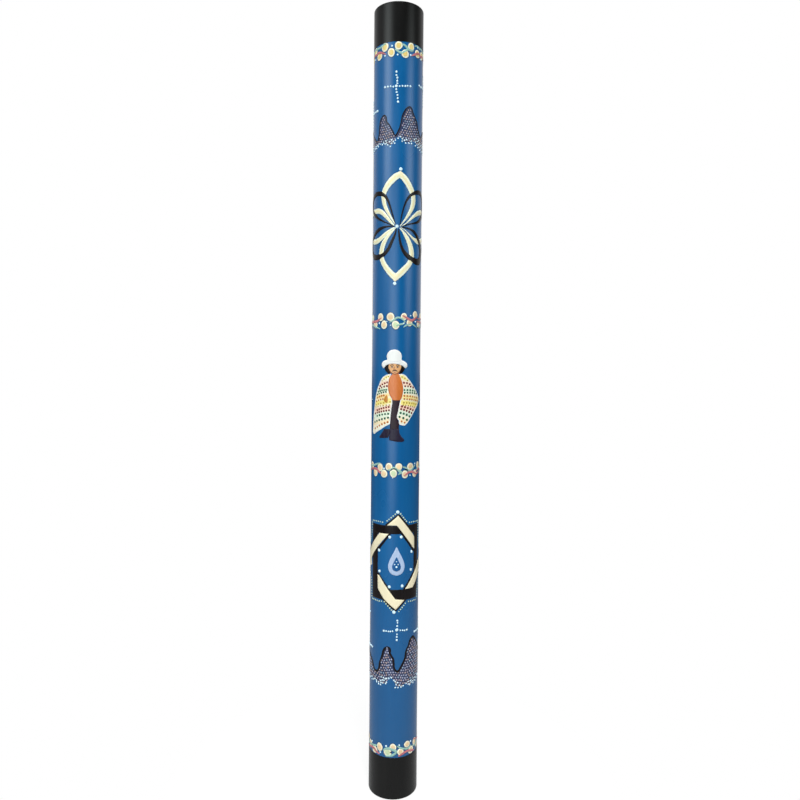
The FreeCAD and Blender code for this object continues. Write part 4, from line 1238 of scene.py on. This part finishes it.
def lathe(name, profile, material, wobble):
    """Turned form from (radius, z) in mm. A profile that starts and ends on the axis is closed
    with fans, any other is closed end to end. wobble(angle, z, radius) is added to the radius."""
    n = 180
    verts, rings = [], []
    for r, z in profile:
        first = len(verts)
        if r < 1e-6:
            verts.append((0, 0, z / 1000))
        else:
            for i in range(n):
                t = 2 * math.pi * i / n
                radius = r + wobble(t, z, r)
                verts.append((radius * math.cos(t) / 1000, radius * math.sin(t) / 1000, z / 1000))
        rings.append(range(first, len(verts)))
    pairs = list(zip(rings, rings[1:]))
    if len(rings[0]) > 1 and len(rings[-1]) > 1:
        pairs.append((rings[-1], rings[0]))
    faces = []
    for a, b in pairs:
        for i in range(n):
            j = (i + 1) % n
            if len(a) == 1:
                faces.append((a[0], b[j], b[i]))
            elif len(b) == 1:
                faces.append((a[i], a[j], b[0]))
            else:
                faces.append((a[i], a[j], b[j], b[i]))
    mesh = bpy.data.meshes.new(name)
    mesh.from_pydata(verts, [], faces)
    return add_object(name, mesh, material)


# ------------------------------------------------------------------ pipe skin and caps
def waviness(angle, z):
    """A hand-painted pipe is not quite round: a few hundredths of a millimetre."""
    return (0.018 * math.sin(3 * angle + z * 0.013) + 0.014 * math.sin(5 * angle - z * 0.021 + 1.3)
            + 0.010 * math.sin(z * 0.11 + 2 * angle))


def painted_skin(bottom, top):
    """Painted sleeve over the pipe, with slightly rounded ends."""
    rows = 300
    profile = [(SKIN_R - 0.05, bottom), (SKIN_R - 0.01, bottom + 0.08)]
    profile += [(SKIN_R, bottom + 0.3 + (top - bottom - 0.6) * i / rows)
                for i in range(rows + 1)]
    profile += [(SKIN_R - 0.01, top - 0.08), (SKIN_R - 0.05, top)]
    profile += [(R_TUBE + 0.015, top), (R_TUBE + 0.015, bottom)]
    skin = lathe("painted_skin", profile, MAT_BLUE,
                 lambda angle, z, r: waviness(angle, z) if r > R_TUBE + 0.03 else 0)
    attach(skin, "stick")


def cap(name, z_face, z_mouth, cad):
    """Black end cap: closed face with a slightly dished middle, round rim, straight skirt."""
    way = 1 if z_mouth > z_face else -1
    box_lo, box_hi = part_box(cad)
    radius = (box_hi.x - box_lo.x) * 500.0
    thickness, skirt_inner = 3.0, 30.55
    rim, lip = 0.6, 0.12  # rounding at the face and at the mouth
    length = abs(z_mouth - z_face)
    # (radius, depth of the dish)
    profile = [(r, z_face + way * dish) for r, dish in (
        (0, 0.10), (6, 0.10), (14, 0.09), (22, 0.05), (27.5, 0.01), (30.0, 0))]
    for i in range(9):
        a = math.pi / 2 * i / 8
        profile.append((radius - rim + rim * math.sin(a), z_face + way * (rim - rim * math.cos(a))))
    for k in range(1, 24):
        profile.append((radius, z_face + way * (rim + (length - rim - lip) * k / 24)))
    for i in range(5):
        a = math.pi / 2 * i / 4
        profile.append((radius - lip + lip * math.cos(a), z_mouth - way * lip * (1 - math.sin(a))))
    profile += [(skirt_inner, z_mouth), (skirt_inner, z_face + way * (thickness + 20)),
                (skirt_inner, z_face + way * thickness), (0, z_face + way * thickness)]
    ob = lathe(name, profile, MAT_END, lambda angle, z, r: (
        0.6 * waviness(angle, z + 300) - 0.01 if r > radius - 0.2 else 0))
    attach(ob, "stick")
    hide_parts(cad)


bottom_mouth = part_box("bottom_cap")[1].z * 1000
top_box_lo, top_box_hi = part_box("top_cap")
top_mouth = top_box_lo.z * 1000
painted_skin(bottom_mouth + 0.02, top_mouth - 0.02)
cap("bottom_cap_enamelled", 0.0, bottom_mouth, "bottom_cap")
cap("top_cap_enamelled", top_box_hi.z * 1000, top_mouth, "top_cap")

# ------------------------------------------------------------------ artwork objects
# one object for each motif and colour
reliefs = {}
for kind, group, colour, points, height, smooth in shapes:
    relief = reliefs.setdefault((group, colour), Relief())
    if kind == "dot":
        for point in points:
            relief.dot(*point, height)
    elif kind == "ribbon":
        relief.ribbon(spline(points) if smooth else points, height)
    else:
        relief.patch(spline(points, closed=True, step=1.2) if smooth else points, height)
for (group, colour), relief in reliefs.items():
    artwork = relief.make(f"art_{group}_{colour}", paints[colour])
    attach(artwork, "stick")


# ------------------------------------------------------------------ materials of the CAD pieces
def pvc():
    m = Material("pipe_plastic")
    streak = m.noise(m.coords((1, 1, 0.05)), scale=90.0, w=0.4)
    colour = m.ramp(streak, [(0.3, (0.50, 0.50, 0.49)), (0.7, (0.62, 0.62, 0.60))])
    m.surface(colour, m.remap(streak, to=(0.38, 0.5)))
    m.bump((streak, 0.2))
    return m.material


def wood():
    m = Material("plug_softwood")
    wave = {"Vector": m.coords((1, 0.12, 1)), "Scale": 55.0, "Distortion": 2.6, "Detail": 3.0}
    rings = m.add("ShaderNodeTexWave", wave, wave_type="RINGS").outputs["Fac"]
    colour = m.ramp(rings, [(0.2, (0.52, 0.33, 0.17)), (0.6, (0.66, 0.46, 0.27)),
                            (0.95, (0.40, 0.23, 0.11))])
    pore = m.noise(m.coords((1, 0.1, 1)), scale=900.0, w=1.0)
    pores = m.remap(pore, to=(0.0, 0.35), over=(0.55, 0.8))
    colour = m.mix(pores, colour, (0.25, 0.14, 0.07))
    m.surface(colour, m.remap(pore, to=(0.55, 0.75)))
    m.bump((pore, 0.4), (rings, 0.2), distance=0.0002)
    return m.material


def steel():
    m = Material("nail_steel")
    tarnish = m.noise(m.coords(), scale=500.0, detail=4.0, roughness=0.65, w=6.0)
    colour = m.ramp(tarnish, [(0.30, (0.40, 0.40, 0.40)), (0.6, (0.60, 0.60, 0.59)),
                              (0.85, (0.30, 0.22, 0.16))])
    m.surface(colour, m.remap(tarnish, to=(0.25, 0.5)), Metallic=1.0)
    m.bump((tarnish, 0.25))
    return m.material


def silicone():
    m = Material("sealant_bead")
    mottle = m.noise(m.coords(), scale=260.0, w=3.0)
    colour = m.ramp(mottle, [(0.3, (0.66, 0.64, 0.58)), (0.7, (0.80, 0.79, 0.74))])
    m.surface(colour, m.remap(mottle, to=(0.35, 0.5)))
    m.bump((mottle, 0.5), distance=0.0002)
    return m.material


def stone(name, dark, mid, light, seed, cell_scale):
    """Pebbles: each Voronoi cell takes its own tone, with veins and fine grain."""
    m = Material(name)
    cells = m.add("ShaderNodeTexVoronoi", {"Vector": m.coords(), "Scale": cell_scale})
    tone = m.add("ShaderNodeSeparateColor", {0: cells.outputs["Color"]}).outputs[0]
    colour = m.ramp(tone, [(0.1, dark), (0.5, mid), (0.9, light)])
    fine = m.noise(m.coords(), scale=1500.0, detail=4.0, roughness=0.65, w=seed)
    vein = m.noise(m.coords(), scale=420.0, w=seed + 4)
    veins = m.remap(vein, to=(0.0, 0.5), over=(0.50, 0.72))
    colour = m.mix(veins, colour, scaled(mid, 0.6))
    grain = m.remap(fine, to=(0.0, 0.35), over=(0.55, 0.8))
    colour = m.mix(grain, colour, [min(1, c * 1.5) for c in light])
    m.surface(colour, m.remap(fine, to=(0.45, 0.7)))
    m.bump((fine, 0.5), (vein, 0.4), distance=0.0002)
    return m.material


MAT_PVC, MAT_WOOD, MAT_STEEL, MAT_SEAL = pvc(), wood(), steel(), silicone()
BY_NAME = {
    "coarse_pebbles": stone("pebble_coarse", (0.20, 0.18, 0.16), (0.32, 0.28, 0.23),
                            (0.45, 0.40, 0.34), seed=1.0, cell_scale=90.0),
    "medium_pebbles": stone("pebble_medium", (0.28, 0.22, 0.17), (0.40, 0.34, 0.27),
                            (0.52, 0.47, 0.40), seed=2.0, cell_scale=130.0),
    "fine_pebbles": stone("pebble_fine", (0.36, 0.29, 0.22), (0.50, 0.42, 0.32),
                          (0.62, 0.56, 0.46), seed=3.0, cell_scale=210.0),
    "bottom_cap": MAT_END,
    "top_cap": MAT_END,
}


def cad_material(name):
    if "plug" in name and "nails" not in name:
        return MAT_WOOD
    if "nails" in name or name.startswith("pin_row"):
        return MAT_STEEL
    if "seal" in name:
        return MAT_SEAL
    return BY_NAME.get(name, MAT_PVC)


for name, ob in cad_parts.items():
    ob.data.materials.clear()
    ob.data.materials.append(cad_material(name))

# ------------------------------------------------------------------ floor
# Near the stick the floor is painted lighter and made to glow: a painted pool of light that the
# stick's lower half reflects.
FLOOR_GREY = 0.21  # albedo that the floor shows to bounced light near the stick
FLOOR_FAR = 0.10  # and far from it
FLOOR_GLOW = 0.34  # extra lift right round the stick, fading outwards
FLOOR_FADE = (0.25, 1.5)  # where both fade out, metres
FLOOR_SHADE = 0.18  # share of real shading that the camera sees at the stick's foot
SHADE_FADE = (0.04, 0.30)  # where it fades out, metres


def floor_material():
    m = Material("stage_floor")

    def from_middle():
        return m.add("ShaderNodeVectorMath", {0: m.object_coords()},
                     operation="LENGTH").outputs["Value"]

    # near: the painted pool of light round the stick, in the floor's albedo and in its glow
    near = m.remap(from_middle(), to=(1.0, 0.0), over=FLOOR_FADE, smooth=True)
    mottle = m.noise(m.coords(), scale=3.0, detail=2.0, roughness=0.5, w=0.0)
    grey = m.ramp(mottle, [(0.3, (FLOOR_GREY - 0.01,) * 3), (0.7, (FLOOR_GREY + 0.01,) * 3)])
    m.surface(m.mix(near, (FLOOR_FAR,) * 3, grey), 0.9, **{
        "Specular IOR Level": 0.1,
        "Emission Color": (1, 1, 1),
        "Emission Strength": m.math("MULTIPLY", near, FLOOR_GLOW)})
    # the camera sees a clean white sweep with only a trace of shade where the stick stands
    white = m.add("ShaderNodeEmission").outputs[0]
    shaded = m.add("ShaderNodeBsdfDiffuse", {"Color": (0.95, 0.95, 0.95)}).outputs[0]
    fade = m.remap(from_middle(), to=(FLOOR_SHADE, 0.0), over=SHADE_FADE)
    sweep = m.add("ShaderNodeMixShader", {0: fade, 1: white, 2: shaded}).outputs[0]
    m.feed(m.output, {0: m.mix_for_camera(m.bsdf.outputs[0], sweep)})
    return m.material


def stage_floor():
    mesh = bpy.data.meshes.new("stage_floor")
    bm = bmesh.new()
    bmesh.ops.create_circle(bm, cap_ends=True, radius=30.0, segments=96)
    bm.to_mesh(mesh)
    bm.free()
    mesh.materials.append(floor_material())
    floor = bpy.data.objects.new("stage_floor", mesh)
    floor.location = (0, 0, -0.0004)
    scene.collection.objects.link(floor)
    floor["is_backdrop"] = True


stage_floor()

# ------------------------------------------------------------------ world
WORLD_FRONT = 0.02  # brightness on the camera's side of the stick
WORLD_BACK = 1.0  # and behind the stick
WORLD_EDGE = (0.0, 0.60)  # direction Y over which one turns into the other
WORLD_LEFT = 0.42  # the studio is lighter on the camera's left
WORLD_RIGHT = 0.12


def studio_world():
    """White to the camera; darker in front than behind for every other ray."""
    world = bpy.data.worlds.new("studio")
    scene.world = world
    world.use_nodes = True
    w = Tree(world.node_tree)
    w.tree.nodes.clear()
    direction = w.separate(w.add("ShaderNodeTexCoord").outputs["Generated"])

    def fade(axis, to, over):
        return w.remap(direction[axis], to=to, over=over, smooth=True)

    # the back fades towards the ceiling
    back = w.math("MULTIPLY", fade("Y", to=(WORLD_FRONT, WORLD_BACK), over=WORLD_EDGE),
                  fade("Z", to=(1.0, 0.5), over=(0.26, 0.50)))
    sides = w.math("ADD", fade("X", to=(WORLD_LEFT, 0.0), over=(-0.80, -0.15)),
                   fade("X", to=(0.0, WORLD_RIGHT), over=(0.30, 0.90)))

    def background(strength):
        return w.add("ShaderNodeBackground",
                     {"Color": (1, 1, 1), "Strength": strength}).outputs[0]

    seen = w.mix_for_camera(background(w.math("MAXIMUM", back, sides)), background(1.0))
    w.add("ShaderNodeOutputWorld", {0: seen})


studio_world()

# ------------------------------------------------------------------ lights
LIGHT_TINT = (0.93, 1.02, 1.015)  # slightly cool
SOFTBOX_DISTANCE = 1.6


def softbox(name, azimuth, height, width, tall, radiance, roll=0.0):
    """Large soft light facing the stick, feathered towards its edges; radiance is that of the
    middle. azimuth is in degrees from the camera's direction, positive to the camera's right."""
    angle = math.radians(azimuth)
    place = Vector((math.sin(angle) * SOFTBOX_DISTANCE, -math.cos(angle) * SOFTBOX_DISTANCE,
                    height))
    light = bpy.data.lights.new(name, "AREA")
    light.shape = "RECTANGLE"
    light.size = width
    light.size_y = tall
    light.energy = radiance * math.pi * width * tall
    light.color = LIGHT_TINT
    light.use_nodes = True
    t = Tree(light.node_tree)
    emission = next(n for n in t.tree.nodes if n.bl_idname == "ShaderNodeEmission")
    across = t.separate(t.add("ShaderNodeNewGeometry").outputs["Parametric"])
    # sine squared along each side: one in the middle, nothing at the edge
    feathers = [t.math("POWER", t.math("SINE", t.math("MULTIPLY", across[axis], math.pi)), 2.0)
                for axis in ("X", "Y")]
    t.feed(emission, {"Strength": t.math("MULTIPLY", *feathers)})
    ob = bpy.data.objects.new(name, light)
    aim = (Vector((0, 0, height)) - place).to_track_quat("-Z", "Y")
    ob.rotation_euler = (aim @ Quaternion((0, 0, 1), math.radians(roll))).to_euler()
    ob.location = place
    scene.collection.objects.link(ob)


def distant_light(azimuth, elevation, strength, spread):
    """Large distant source, high up in front, that evens the light along the stick."""
    light = bpy.data.lights.new("soft_distant", "SUN")
    light.energy = strength
    light.angle = math.radians(spread)
    ob = bpy.data.objects.new("soft_distant", light)
    az, el = math.radians(azimuth), math.radians(elevation)
    aim = Vector((-math.sin(az) * math.cos(el), math.cos(az) * math.cos(el), -math.sin(el)))
    ob.rotation_euler = aim.to_track_quat("-Z", "Y").to_euler()
    scene.collection.objects.link(ob)


softbox("soft_left_high", azimuth=-49.0, height=1.50, width=1.80, tall=1.60, radiance=4.9)
softbox("soft_left_low", azimuth=-15.5, height=0.60, width=1.90, tall=2.10, radiance=3.3)
softbox("soft_right", azimuth=57.0, height=1.20, width=1.70, tall=1.60, radiance=3.8, roll=30.0)
distant_light(azimuth=6.0, elevation=62.0, strength=2.6, spread=18.0)

# ------------------------------------------------------------------ camera
CAMERA_PLACE = (0.0, -0.87650, 0.56450)
CAMERA_TILT = 0.0253835  # downwards, radians
CAMERA_ROLL = 0.0083743  # radians


def camera():
    data = bpy.data.cameras.new("camera")
    ob = bpy.data.objects.new("camera", data)
    scene.collection.objects.link(ob)
    data.sensor_width = 36.0
    data.sensor_fit = "HORIZONTAL"
    data.lens = 30.125
    data.shift_x = 0.00503
    data.shift_y = -0.0292
    data.clip_start = 0.01
    data.clip_end = 100.0
    sin_tilt, cos_tilt = math.sin(CAMERA_TILT), math.cos(CAMERA_TILT)
    sin_roll, cos_roll = math.sin(CAMERA_ROLL), math.cos(CAMERA_ROLL)
    right = (cos_roll, sin_tilt * sin_roll, cos_tilt * sin_roll)
    up = (-sin_roll, sin_tilt * cos_roll, cos_tilt * cos_roll)
    backward = (0, -cos_tilt, sin_tilt)
    rows = zip(right, up, backward, CAMERA_PLACE)
    ob.matrix_world = Matrix((*rows, (0, 0, 0, 1)))
    scene.camera = ob


camera()
scene.view_settings.view_transform = "Standard"
scene.view_settings.look = "None"

# ------------------------------------------------------------------ sizes
size = {"cad": cad_box, "visual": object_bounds()}


def plain(v):
    """Vectors and arrays as lists that JSON can hold."""
    if isinstance(v, dict):
        return {k: plain(x) for k, x in v.items()}
    if isinstance(v, (list, tuple, Vector, np.ndarray)):
        return [plain(x) for x in v]
    return float(v)


plain(size)
